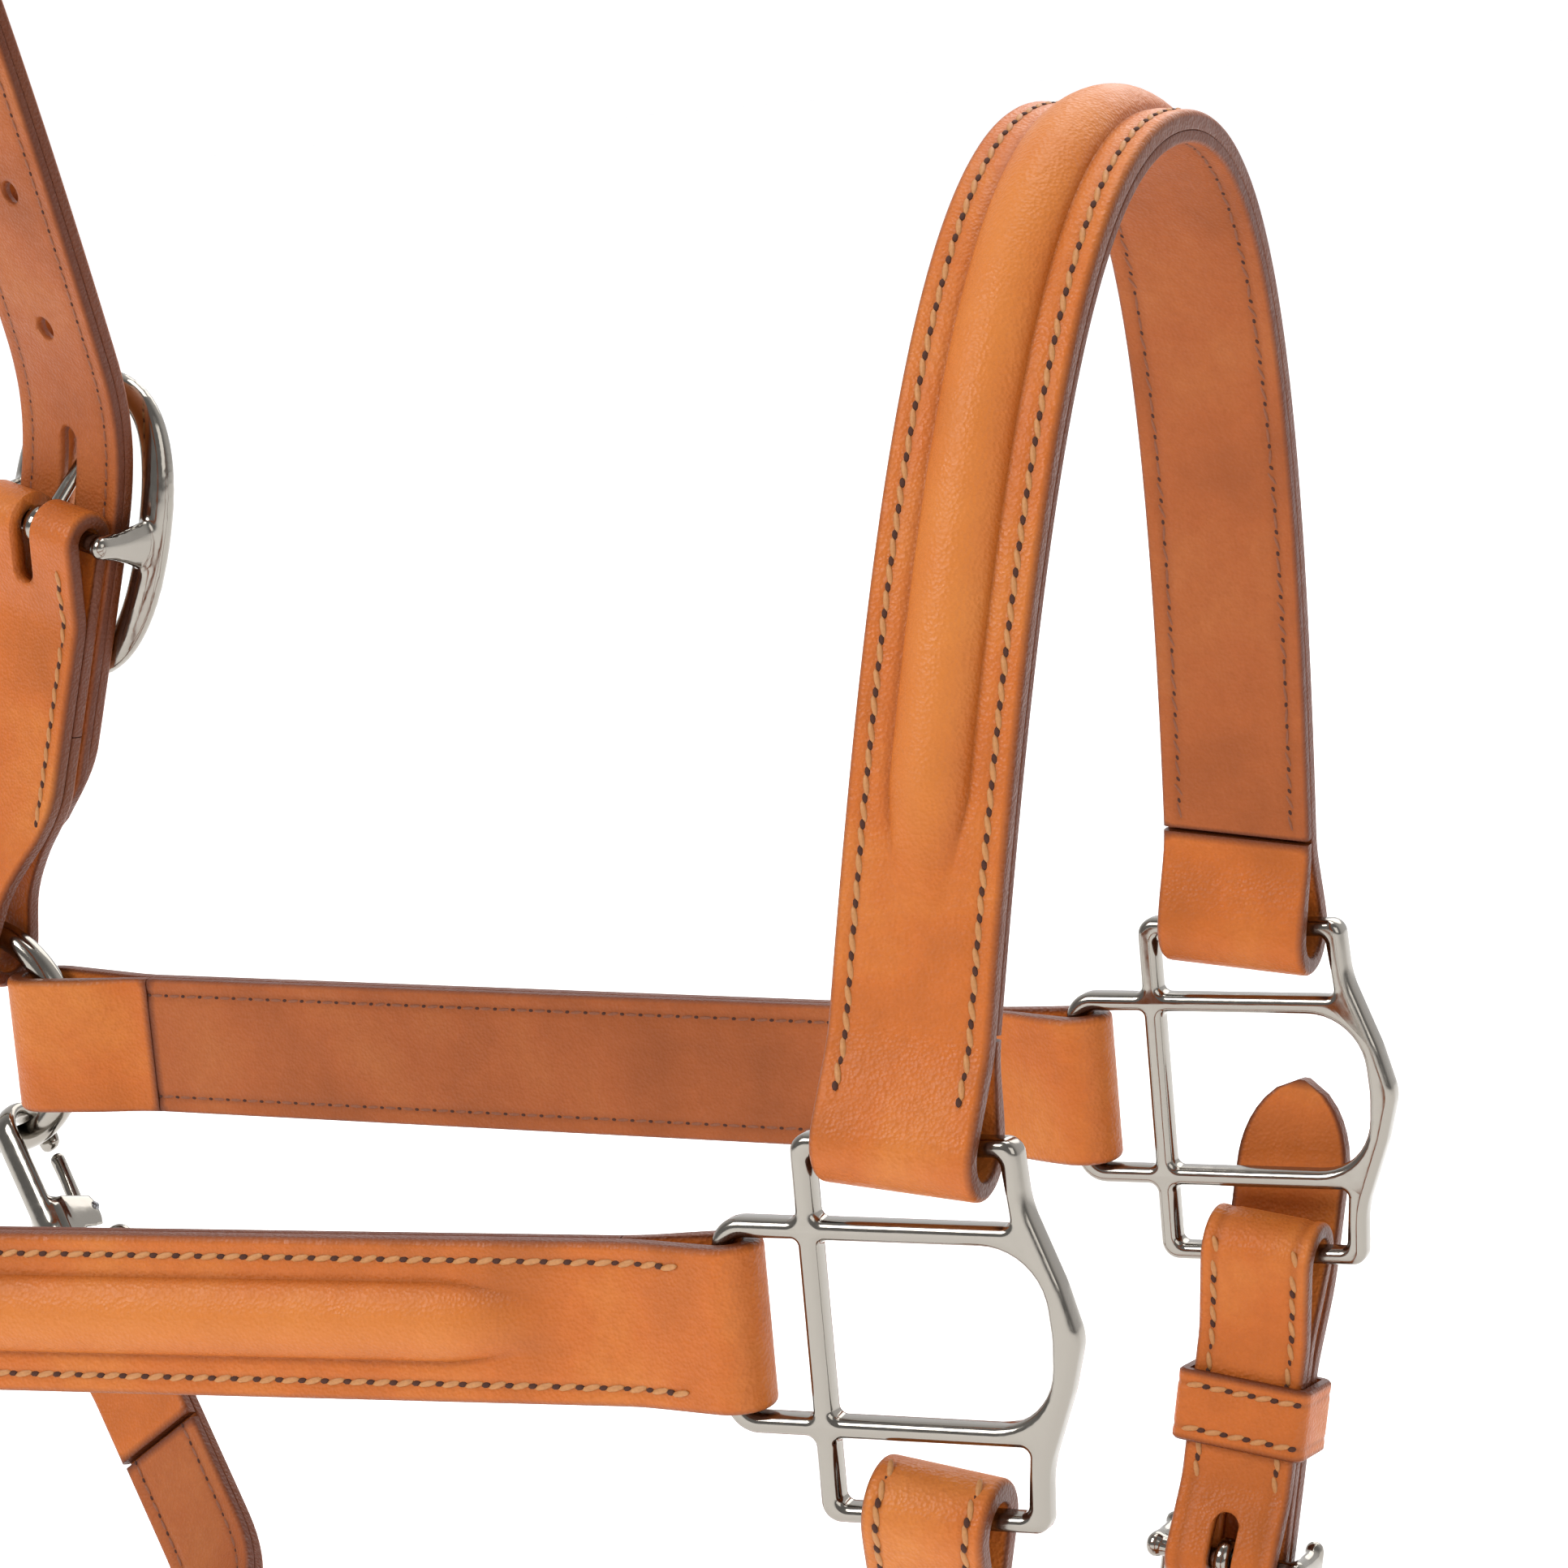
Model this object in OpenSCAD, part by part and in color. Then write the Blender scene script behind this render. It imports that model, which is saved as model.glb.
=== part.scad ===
// Leather headcollar with a raised noseband and cheeks, cast squares, a crown buckle and a throat snap.
// +X points to the horse's nose, +Y to its left side and +Z up. The origin is where the crown rests.

/* [Straps] */
// Width of the noseband, cheeks and crown
strap_w = 25; // [24:0.5:26]
// Width of the chin, throat and jaw straps
slim_w = 19; // [18:0.5:19]
// Thickness of the outer leather
outer_t = 3; // [2.6:0.1:3]
// Thickness of the lining
lining_t = 2; // [1.6:0.1:2]
// Height of the rolled ridge over the flat leather
ridge_h = 3.2; // [2.4:0.1:3.6]
// Width of the rolled ridge
ridge_w = 12; // [10:0.5:13]

/* [Nose] */
// Half the distance between the two squares
half_w = 68; // [64:1:72]
// Height of the noseband over the squares' top bars
arch_h = 137; // [130:1:160]
// Forward lean of the noseband, in degrees
nose_lean = 6; // [4:0.5:6]
// Depth of the chin strap under the squares' bottom bars
chin_h = 104; // [100:1:110]
// Backward lean of the chin strap, in degrees
chin_lean = 9; // [7:0.5:9]

/* [Rings and crown] */
// Distance from the squares back to the rings
ring_back = 258; // [250:1:266]
// Half the distance between the two rings
ring_half = 86; // [84:1:88]
// Mean radius of a ring
ring_r = 20.5; // [20:0.5:21]
// Radius of the rings' wire
wire_r = 2.5; // [2.2:0.1:2.5]
// Turn of the rings, in degrees, from straight ahead
ring_yaw = 8; // [6:1:8]
// Height of the crown's lining over the rings' centres
poll_h = 306; // [296:1:316]
// How far the crown's top lies ahead of the rings' centres
poll_x = 8; // [4:1:12]
// Height of the crown buckle's bar over the ring's centre
bar_h = 99; // [96:1:102]

/* [Throat] */
// Forward lean of the throat strap, in degrees
throat_lean = 35; // [33:1:35]
// Depth of the throat strap under the rings' lowest points, along its lean
throat_h = 96; // [92:1:100]

/* [Hidden] */
$fn = 48;

TAN = [0.78, 0.45, 0.22];
LINING = [0.72, 0.42, 0.24];
NICKEL = [0.80, 0.79, 0.76];
FELT = [0.85, 0.80, 0.70];
STEEL = [0.60, 0.60, 0.62];

gap = 0.1;              // between the two legs of a folded strap
bend_n = 14;            // steps round a fold
square_t = 4;           // thickness of a square's bars from side to side
slot_x = 1;             // middle of a square's top and bottom slots
slot_z = 27.6;          // height of the top and bottom slots' outer bars
rear_x = 29.5;          // distance of the rear slot's outer bar behind the middle
bar_fold_r = 2.9;       // inner radius of the cheek's fold round a square's bar
lean_fold_r = 4;        // inner radius of a fold that leans on its bar
ring_fold_r = 4.2;      // inner radius of a fold round a ring
ring_fold_c = 16.2;     // distance of the cheek's fold from the ring's centre
head_fold_c = 18.3;     // the same for the narrowed folds at the ring's top
ring_end_w = 10;        // width of the straps that are narrowed on a ring
ring_contact = 20;      // how far ahead of its lowest point the throat pulls on a ring, in degrees
meet = 14;              // distance from a fold's middle to where its legs meet
ring_meet = 22;         // the same on a ring
filler_w = 7;
filler_t = 2.6;
ridge_gap = 0.05;
head_yaw = 14;
head_lean = 14;
head_out = 6;
flush_r = 2.6;          // fold radius round the crown buckle's bar
thin_t = 2.6;           // thickness of the chin billet's leather
chin_t = 3.4;
heel_g = 52;            // distance of the chin buckle's bar from the square's bar
tongue_fit = 0.05;

// ---------- plane geometry ----------
function dir(a) = [cos(a), sin(a)];
function unit(v) = v / norm(v);
function right(v) = [v[1], -v[0]];
function turn(v) = atan2(v[1], v[0]);
function flip_y(points) = [for (p = points) [-p[0], p[1]]];
function back(points) = [for (i = [len(points) - 1 : -1 : 0]) points[i]];
function bezier(a, b, c, d, n) = [for (i = [0 : n]) let (t = i / n, s = 1 - t)
    s * s * s * a + 3 * s * s * t * b + 3 * s * t * t * c + t * t * t * d];
// Points round the circle at c, on the way from p to q, with the circle on the left
function wrap(p, c, r, q, n = bend_n) = let (
    a = turn(p - c) + acos(r / norm(p - c)),
    b = turn(q - c) - acos(r / norm(q - c)),
    sweep = b - a - 360 * floor((b - a) / 360))
    [for (i = [0 : n]) c + r * dir(a + sweep * i / n)];
// Points of the arc of radius r that rounds the corner b between a and c, turning left
function corner(a, b, c, r, n = 10) = let (
    u = unit(b - a), v = unit(c - b),
    bend = turn([u[0] * v[0] + u[1] * v[1], u[0] * v[1] - u[1] * v[0]]),
    start = b - u * r * tan(bend / 2), centre = start - right(u) * r)
    [for (i = [0 : n]) centre + r * dir(turn(right(u)) + bend * i / n)];
function step(path, i) = unit(path[min(i + 1, len(path) - 1)] - path[min(i, len(path) - 2)]);
// The path moved to its right by d, mitred at its corners
function beside(path, d) = [for (i = [0 : len(path) - 1]) let (
    u = step(path, max(i - 1, 0)), v = i == 0 ? u : step(path, i), m = unit(right(u) + right(v)))
    path[i] + m * d / (m * right(v))];
module band(path, from, to) polygon(concat(beside(path, from), back(beside(path, to))));

// A strap that runs in the YZ plane, and one that runs in the XZ plane
module across(w) rotate([90, 0, 90]) linear_extrude(w, center = true) children();
module along(w) rotate([90, 0, 0]) linear_extrude(w, center = true) children();
module round_box(x0, y0, x1, y1, r) {
    translate([x0 + r, y0]) square([x1 - x0 - 2 * r, y1 - y0]);
    translate([x0, y0 + r]) square([x1 - x0, y1 - y0 - 2 * r]);
    for (x = [x0 + r, x1 - r], y = [y0 + r, y1 - r]) translate([x, y]) circle(r);
}

// ---------- places ----------
module hang() translate([ring_back - poll_x, 0, -poll_h]) children();
module nose_place() hang() translate([slot_x, 0, slot_z]) rotate([0, nose_lean, 0]) children();
module chin_place() hang() translate([slot_x, 0, -slot_z]) rotate([0, chin_lean, 0]) children();
throat_x = ring_r * sin(ring_contact);
module throat_place() hang() translate([throat_x * cos(ring_yaw) - ring_back, 0, -ring_r * cos(ring_contact)])
    rotate([0, -throat_lean, 0]) children();
module ring_place(side) hang() translate([-ring_back, side * ring_half, 0])
    rotate([0, 0, -side * ring_yaw]) children();
// The head's side leans out from the top of the ring, not from its centre
head_half = ring_half - head_fold_c * sin(head_out);
module head_place(side) hang() translate([-ring_back, side * head_half, 0])
    rotate([0, 0, -side * head_yaw]) rotate([0, head_lean, 0]) rotate([-side * head_out, 0, 0]) children();

// ---------- noseband ----------
nose_out = 9;           // inward lean of the noseband's legs at the squares, in degrees
nose_left = [half_w, 0];
nose_dir = dir(90 + nose_out);
nose_in = right(-nose_dir);
nose_half = bezier(nose_left + meet * nose_dir, nose_left + 92 * nose_dir, [36, arch_h], [0, arch_h], 22);
nose_curve = concat(nose_half, [for (i = [len(nose_half) - 2 : -1 : 0]) [-nose_half[i][0], nose_half[i][1]]]);
nose_end = nose_left + (meet + 2) * nose_dir - gap * right(nose_dir);
nose_fold = concat([nose_end], [nose_left + meet * nose_dir - gap * right(nose_dir)],
    wrap(nose_left + meet * nose_dir - gap * right(nose_dir), nose_left, lean_fold_r, nose_half[0]));
nose_path = concat(nose_fold, nose_curve, flip_y(back(nose_fold)));
function part_of(path, from, to) = [for (i = [from : to]) path[i]];
nose_ridge = part_of(nose_curve, 5, len(nose_curve) - 6);
nose_inside = part_of(nose_curve, 1, len(nose_curve) - 2);

module noseband_outer() color(TAN) nose_place() difference() {
    union() {
        across(strap_w) band(nose_path, 0, outer_t);
        across(ridge_w) band(nose_ridge, outer_t / 2, outer_t + ridge_h);
    }
    across(filler_w) band(nose_ridge, -1, filler_t);
}
module noseband_filler() color(FELT) nose_place()
    across(filler_w - 2 * ridge_gap) band(part_of(nose_ridge, 1, len(nose_ridge) - 2), 0, filler_t - ridge_gap);
module noseband_lining() color(LINING) nose_place() across(strap_w) band(nose_inside, -lining_t, 0);

// ---------- cheeks ----------
cheek_front = [-rear_x, half_w];
cheek_rear = [-ring_back, ring_half] + ring_fold_c * dir(-ring_yaw);
cheek_dir = unit(cheek_rear - cheek_front);
cheek_in = -right(cheek_dir);
cheek_a = cheek_front + meet * cheek_dir;
cheek_b = cheek_rear - ring_meet * cheek_dir;
cheek_path = concat([cheek_a + 2 * cheek_dir + gap * cheek_in, cheek_a + gap * cheek_in],
    wrap(cheek_a + gap * cheek_in, cheek_front, bar_fold_r, cheek_a), [cheek_a, cheek_b],
    wrap(cheek_b, cheek_rear, ring_fold_r, cheek_b + gap * cheek_in),
    [cheek_b + gap * cheek_in, cheek_b - 2 * cheek_dir + gap * cheek_in]);
cheek_ridge = [cheek_a + 24 * cheek_dir, cheek_b - 18 * cheek_dir];

module cheek_outer_solid() difference() {
    union() {
        linear_extrude(strap_w, center = true) band(cheek_path, 0, outer_t);
        linear_extrude(ridge_w, center = true) band(cheek_ridge, outer_t / 2, outer_t + ridge_h);
    }
    linear_extrude(filler_w, center = true) band(cheek_ridge, -1, filler_t);
}
module cheek_lining_solid() linear_extrude(strap_w, center = true)
    band([cheek_a + 2.2 * cheek_dir, cheek_b - 2.2 * cheek_dir], -lining_t, 0);
module cheek_filler_solid() linear_extrude(filler_w - 2 * ridge_gap, center = true)
    band([cheek_ridge[0] + cheek_dir, cheek_ridge[1] - cheek_dir], 0, filler_t - ridge_gap);
module cheek_left_outer() color(TAN) hang() cheek_outer_solid();
module cheek_left_lining() color(LINING) hang() cheek_lining_solid();
module cheek_left_filler() color(FELT) hang() cheek_filler_solid();
module cheek_right_outer() color(TAN) hang() mirror([0, 1, 0]) cheek_outer_solid();
module cheek_right_lining() color(LINING) hang() mirror([0, 1, 0]) cheek_lining_solid();
module cheek_right_filler() color(FELT) hang() mirror([0, 1, 0]) cheek_filler_solid();

// ---------- squares and rings ----------
module square_openings() {
    translate([-14, -13.2]) square([22, 26.4]);
    round_box(-2, -13.2, 20.5, 13.2, 9);
    for (s = [-1, 1]) translate([0, s * 21.2]) round_box(-14, -5, 16, 5, 1.5);
    round_box(-28, -13.2, -17, 13.2, 1);
}
module square_solid(side) hang() translate([0, side * half_w, 0]) difference() {
    union() {
        along(square_t) round_box(-17, -29, 19, 29, 3);
        along(square_t) round_box(-31, -16.2, 0, 16.2, 6);
        along(square_t) polygon([[8, 25], [17.5, 25], [26.5, 0], [17.5, -25], [8, -25]]);
    }
    along(square_t + 2) square_openings();
}
module square_left() color(NICKEL) square_solid(1);
module square_right() color(NICKEL) square_solid(-1);
module ring_solid() rotate([90, 0, 0]) rotate_extrude() translate([ring_r, 0]) circle(wire_r);
module ring_left() color(NICKEL) ring_place(1) ring_solid();
module ring_right() color(NICKEL) ring_place(-1) ring_solid();

// ---------- crown buckle and billet, in (outward, up) from the left ring ----------
billet_low = [0, head_fold_c + ring_meet];
billet_top = [0, bar_h - 16];
ring_c = [0, head_fold_c];
bar_c = [-flush_r, bar_h];
billet_path = concat([[0, 62]], wrap([0, bar_h - 1], bar_c, flush_r, billet_top - [gap, 0]),
    [billet_top - [gap, 0], billet_low - [gap, 0]],
    wrap(billet_low - [gap, 0], ring_c, ring_fold_r, billet_low), [billet_low, [0, 61.8]]);
// What is cut from a strap's edges to narrow it towards the ring
module pinch(half, low, high) for (s = [-1, 1]) rotate([90, 0, 0]) linear_extrude(70, center = true)
    polygon([[s * half, -12], [s * half, low], [s * (strap_w / 2 + 0.1), high], [s * 24, high], [s * 24, -12]]);
module crown_billet() color(TAN) head_place(1) difference() {
    across(strap_w) band(billet_path, 0, outer_t);
    pinch(ring_end_w / 2, 26, 52);
    translate([0, 0, bar_h]) cube([5.4, 30, 22], center = true);
}
frame_in = 8.2;         // from the billet's middle out to the buckle frame's inner face
frame_t = 3.4;
buckle_half_h = 29;
bar_r = 2;
frame_half_w = 19;      // of the buckle's oval frame, outside
frame_bar = 5.4;        // width of the frame's sides
lug_t = 4;
module crown_buckle() color(NICKEL) head_place(1) translate([0, 0, bar_h]) {
    translate([0, frame_in + frame_t, 0]) rotate([90, 0, 0]) linear_extrude(frame_t) difference() {
        round_box(-frame_half_w, -buckle_half_h, frame_half_w, buckle_half_h, 17);
        round_box(frame_bar - frame_half_w, 6 - buckle_half_h, frame_half_w - frame_bar, buckle_half_h - 6, 12.5);
    }
    for (s = [-1, 1]) translate([s * 16 - lug_t / 2, -flush_r - 2.4, -4])
        cube([lug_t, frame_in + flush_r + 3, 8]);
    translate([-15, -flush_r, 0]) rotate([0, 90, 0]) cylinder(h = 30, r = bar_r);
}
// Tongue outline: an eye round the bar and a shank that rests on the frame's end, f out and z1 to z2 up
module tongue(w, eye, f, z1, z2, t) difference() {
    union() {
        across(w) circle(eye + 1.6);
        across(w) polygon([[-1.4, 1.8], [f, z1], [f, z2], [f + t * 0.6, z2], [f + t, z1 - t], [1.8, -1.4]]);
    }
    across(w + 2) circle(eye + tongue_fit);
}
rest_gap = 0.15;        // between a tongue and its frame
module crown_tongue() color(NICKEL) head_place(1) translate([0, -flush_r, bar_h])
    tongue(3.4, bar_r, frame_in + flush_r + frame_t + rest_gap, 21, 27.5, 2.2);

// ---------- crown, swept along stations of [place, width direction] ----------
function rot_z(v, a) = [v[0] * cos(a) - v[1] * sin(a), v[0] * sin(a) + v[1] * cos(a), v[2]];
function rot_y(v, a) = [v[0] * cos(a) + v[2] * sin(a), v[1], v[2] * cos(a) - v[0] * sin(a)];
function rot_x(v, a) = [v[0], v[1] * cos(a) - v[2] * sin(a), v[1] * sin(a) + v[2] * cos(a)];
function head_turn(v) = rot_z(rot_y(rot_x(v, -head_out), head_lean), -head_yaw);
function head_point(p) = [-ring_back, head_half, 0] + head_turn([0, p[0], p[1]]);
function mix(a, b, t) = a * (1 - t) + b * t;
function smooth(t) = t * t * (3 - 2 * t);
function mirrored(v) = [v[0], -v[1], v[2]];
tail_b = outer_t + gap + lining_t;
crown_side_w = head_turn([1, 0, 0]);
crown_n = 20;
crown_top = [poll_x - ring_back, 0, poll_h + lining_t];
// Each pair is how far outside the billet's middle, and how far over the buckle's bar
crown_low = [for (p = [[tail_b, 40 - bar_h], [tail_b, -34], [tail_b, -14], [tail_b, 2], [tail_b - 0.5, 9],
    [tail_b - 1.7, 16], [tail_b - 3.9, 23], [tail_b - 7.2, 30]]) head_point([p[0], bar_h + p[1]])];
crown_start = head_point([tail_b - 11.4, bar_h + 37]);
crown_heading = unit(crown_start - crown_low[7]);
crown_arc = bezier(crown_start, crown_start + 80 * crown_heading, crown_top + [0, 52, 0], crown_top, crown_n);
right_in = [gap, 0, 0];
right_low = billet_low;
right_fold = concat([right_low], back(wrap(right_low + [-gap, 0], ring_c, ring_fold_r, right_low)),
    [right_low + [-gap, 0], right_low + [-gap, 14]]);
right_leg = [for (p = [[-5, 30], [-2.4, 23], [-0.9, 16], [-0.2, 9], [0, 0], [0, -20], [0, -39]])
    mirrored(head_point([p[0], bar_h + p[1]]))];
right_start = mirrored(head_point([-9, bar_h + 37]));
right_arc = bezier(crown_top, crown_top - [0, 52, 0], right_start + 80 * mirrored(crown_heading), right_start, crown_n);
// The fold on the right ring is drawn in the left side's plane and mirrored, so its order is reversed
crown_right = [for (p = right_fold) mirrored(head_point([p[0], p[1]]))];
crown_stations = concat([for (p = crown_low) [p, crown_side_w]],
    [for (i = [0 : crown_n]) [crown_arc[i], mix(crown_side_w, [1, 0, 0], smooth(i / crown_n))]],
    [for (i = [1 : crown_n]) [right_arc[i], mix([1, 0, 0], mirrored(crown_side_w), smooth(i / crown_n))]],
    [for (p = right_leg) [p, mirrored(crown_side_w)]], [for (p = crown_right) [p, mirrored(crown_side_w)]]);
lining_to = len(crown_low) + 2 * crown_n + len(right_leg);

function heading(s, i) = let (
    u = unit(s[max(i, 1)][0] - s[max(i, 1) - 1][0]),
    v = unit(s[min(i + 1, len(s) - 1)][0] - s[min(i + 1, len(s) - 1) - 1][0]))
    [unit(u + v), sqrt((1 + u * v) / 2)];
module sweep(s, w, from, to) {
    points = [for (i = [0 : len(s) - 1]) let (
        t = heading(s, i), n = unit(cross(t[0], s[i][1])), a = cross(n, t[0]))
        for (c = [[-w / 2, from], [w / 2, from], [w / 2, to], [-w / 2, to]])
            s[i][0] + a * c[0] + n * c[1] / t[1]];
    m = len(s);
    sides = [for (i = [0 : m - 2], k = [0 : 3]) let (a = 4 * i + k, b = 4 * i + (k + 1) % 4)
        each (k == 2 ? [[a, a + 4, b], [b, a + 4, b + 4]] : [[a, b + 4, b], [a, a + 4, b + 4]])];
    ends = [[0, 1, 2, 3], [for (k = [3 : -1 : 0]) 4 * (m - 1) + k]];
    polyhedron(points, concat(sides, ends));
}
hole_pitch = 25;
hole_r = 2.2;
module crown_holes() head_place(1) {
    translate([0, 6, bar_h + 9.5]) cube([4.4, 20, 18], center = true);
    for (i = [1 : 3]) translate([0, 0, bar_h + 12 + hole_pitch * i]) rotate([90, 0, 0])
        cylinder(h = 90, r = hole_r, center = true, $fn = 16);
    translate([0, 12, bar_h + 12 - hole_pitch]) rotate([90, 0, 0])
        cylinder(h = 17.6, r = hole_r, center = true, $fn = 16);
}
module crown_outer() color(TAN) difference() {
    hang() sweep(crown_stations, strap_w, 0, outer_t - 0.4);
    crown_holes();
    head_place(-1) pinch(ring_end_w / 2, 26, 52);
}
module crown_lining() color(LINING) difference() {
    hang() sweep([for (i = [0 : lining_to]) crown_stations[i]], strap_w, -lining_t, 0);
    crown_holes();
}

// ---------- chin strap, in (across, up) from the squares' bottom bars ----------
chin_in = 7;            // inward lean of the chin strap's legs, in degrees
chin_c = [half_w, 0];
chin_dir = dir(-90 - chin_in);
chin_out = -right(chin_dir);
function chin_at(g, b) = chin_c + g * chin_dir + b * chin_out;
chin_j = 72;            // where the chin strap's far leg turns from its curve into the buckle
chin_tip_h = 27;        // height of its pointed tip over the square's bottom bar
chin_point = 42;
chin_pitch = 18;        // spacing of its holes
chin_low = bezier([0, -chin_h], [32, -chin_h], chin_at(chin_j + 20, 0), chin_at(chin_j, 0), 14);
chin_tail = [chin_at(64, 1.6), chin_at(58, thin_t + gap), chin_at(meet + 4, thin_t + gap),
    chin_at(5, lean_fold_r + thin_t + 0.3), chin_at(-6, lean_fold_r + thin_t + 0.3), chin_at(-28, 7.4)];
near_fold = [for (p = concat([chin_at(36, -gap), chin_at(meet, -gap)],
    back(wrap(chin_at(meet, 0), chin_c, lean_fold_r, chin_at(meet, -gap))), [chin_at(meet, 0)])) [-p[0], p[1]]];
chin_path = concat(near_fold, flip_y(back(part_of(chin_low, 1, 14))), chin_low, chin_tail);
module chin_strap() color(TAN) chin_place() difference() {
    across(slim_w) band(chin_path, 0, chin_t);
    translate([0, chin_c[0], 0]) rotate([-chin_in, 0, 0]) {
        for (s = [-1, 1]) translate([0, 0, chin_tip_h]) rotate([0, -s * chin_point, 0])
            translate([s * slim_w, 0, 0]) cube([2 * slim_w, 40, 3 * slim_w], center = true);
        translate([0, 4, -heel_g - 8]) cube([3.6, 20, 14], center = true);
        for (i = [1 : 3]) translate([0, 4, -heel_g - 8 + chin_pitch * i]) rotate([90, 0, 0])
            cylinder(h = 20, r = 1.8, center = true, $fn = 16);
    }
}
heel_r = 1.8;
heel_fold = 2.1;
heel_c = chin_at(heel_g, -heel_fold);
chin_billet_path = let (top_o = chin_at(meet, 0), top_i = chin_at(meet, -gap), low_i = chin_at(heel_g - 12, -gap))
    concat([chin_at(32, -gap), low_i], wrap(low_i, heel_c, heel_fold, chin_at(heel_g - 1, 0)),
    [top_o], wrap(top_o, chin_c, lean_fold_r, top_i), [top_i, chin_at(31.8, -gap)]);
module chin_billet() color(TAN) chin_place() difference() {
    across(slim_w) band(chin_billet_path, 0, thin_t);
    translate([0, heel_c[0], heel_c[1]]) rotate([-chin_in, 0, 0]) cube([5, 24, 17], center = true);
}
module heel_place() chin_place() translate([0, heel_c[0], heel_c[1]]) rotate([-chin_in, 0, 0]) children();
chin_frame_in = heel_fold + 4.6;
module chin_buckle() color(NICKEL) heel_place() {
    translate([0, chin_frame_in + 3, 0]) rotate([90, 0, 0]) linear_extrude(3) difference() {
        round_box(-14.2, -21, 14.2, 4, 3.5);
        round_box(-10.6, -17.6, 10.6, 9, 2);
    }
    for (s = [-1, 1]) translate([s * 12.4 - 1.8, -1.8, -3]) cube([3.6, chin_frame_in + 3, 6]);
    translate([-12, 0, 0]) rotate([0, 90, 0]) cylinder(h = 24, r = heel_r);
}
module chin_tongue() color(NICKEL) heel_place() mirror([0, 0, 1])
    tongue(2.8, heel_r, chin_frame_in + 3 + rest_gap, 15.5, 20, 1.8);
module chin_keeper() color(TAN) chin_place() translate([0, chin_c[0], 0]) rotate([-chin_in, 0, 0])
    translate([0, 0, -33]) linear_extrude(12) difference() {
        round_box(-11.6, -4.9, 11.6, 8.5, 2);
        round_box(-9.8, -3.1, 9.8, 6.6, 0.6);
    }

// ---------- throat strap, in (across, up) from the rings' centres ----------
throat_in = 18;         // inward lean of the throat strap's legs, in degrees
throat_t = 2.4;
eye_g = 38;             // from the ring's wire to the snap's eye bar
ring_wire = [ring_half - throat_x * sin(ring_yaw), 0];
throat_dir = dir(-90 - throat_in);
throat_out = -right(throat_dir);
eye_c = ring_wire + eye_g * throat_dir;
eye_fold = 2.4;
throat_corner = [ring_wire[0] - throat_h * tan(throat_in), -throat_h];
throat_a = flip_y([ring_wire])[0];
throat_fold_r = 5.2;
throat_ra = [-throat_corner[0], -throat_h];
throat_rdir = unit(throat_ra - throat_a);
throat_m = throat_a + ring_meet * throat_rdir;
throat_mi = throat_m + gap * [-throat_rdir[1], throat_rdir[0]];
throat_l = eye_c + 12 * throat_dir;
throat_li = throat_l - gap * throat_out;
throat_mid = concat([throat_m + 16 * throat_rdir], corner(throat_m, throat_ra, throat_corner, 20),
    corner(throat_ra, throat_corner, throat_l, 20), [throat_l + 16 * throat_dir]);
throat_path = concat([throat_mi + 15 * throat_rdir, throat_mi],
    wrap(throat_mi, throat_a, throat_fold_r, throat_m), [throat_m], throat_mid, [throat_l],
    wrap(throat_l, eye_c, eye_fold, throat_li), [throat_li, throat_li + 15 * throat_dir]);
module throat_outer() color(TAN) throat_place() difference() {
    across(slim_w) band(throat_path, 0, throat_t);
    translate([0, throat_a[0], 0]) mirror([0, 0, 1]) pinch(ring_end_w / 2, 8, 34);
}
module throat_lining() color(LINING) throat_place() across(slim_w) band(throat_mid, -lining_t, 0);

// ---------- snap, in (outward, up) from the ring's wire, along the throat strap ----------
module snap_place() throat_place() translate([0, ring_wire[0], ring_wire[1]]) rotate([-throat_in, 0, 0])
    children();
hook_r = 3.9;
hook_t = 2.8;
hook_w = 6;
snap_w = 9;
slot_w = 6.2;
lever_w = 3.2;
pin_c = [4.3, -18];
pin_r = 1.08;
coil_r = 0.5;
block_z = -15;          // top of the block that holds the pin
nose_z = -3.2;          // lower end of the hook's nose
module snap_body() color(NICKEL) snap_place() {
    difference() {
        translate([-snap_w / 2, -hook_r - hook_t, -25]) cube([snap_w, 2 * (hook_r + hook_t), 10]);
        translate([0, 4.6, -17]) cube([slot_w, 9.4, 10], center = true);
        translate([0, pin_c[0], pin_c[1]]) rotate([0, 90, 0]) cylinder(h = 20, r = pin_r + 0.02, center = true);
    }
    difference() {
        across(hook_w) difference() {
            union() {
                circle(hook_r + hook_t);
                translate([-hook_r - hook_t, -25]) square([hook_t, 25]);
                translate([hook_r, nose_z]) square([hook_t, -nose_z]);
            }
            circle(hook_r);
            translate([-hook_r, block_z]) square([2 * (hook_r + hook_t), nose_z - block_z]);
            translate([-hook_r, -6]) square([2 * hook_r, 6]);
        }
        translate([0, 4.6, -17]) cube([slot_w, 9.4, 10], center = true);
        translate([0, pin_c[0], pin_c[1]]) rotate([0, 90, 0]) cylinder(h = 20, r = pin_r + 0.02, center = true);
    }
    translate([0, 0, -28]) cylinder(h = 5, r = 2.6);
    translate([0, 0, -28]) along(3.2) difference() {
        round_box(-13, -11.5, 13, 2.6, 2.5);
        round_box(-10, -8.5, 10, -0.6, 1);
    }
}
module snap_lever() color(NICKEL) snap_place() across(lever_w) difference() {
    union() {
        translate(pin_c) circle(2.2);
        translate([hook_r + 0.2, pin_c[1]]) square([2.4, -pin_c[1] - 3.7]);
    }
    translate(pin_c) circle(pin_r + 0.05);
}
module snap_pin() color(STEEL) snap_place() translate([0, pin_c[0], pin_c[1]]) rotate([0, 90, 0])
    cylinder(h = snap_w, r = pin_r, center = true);
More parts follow.
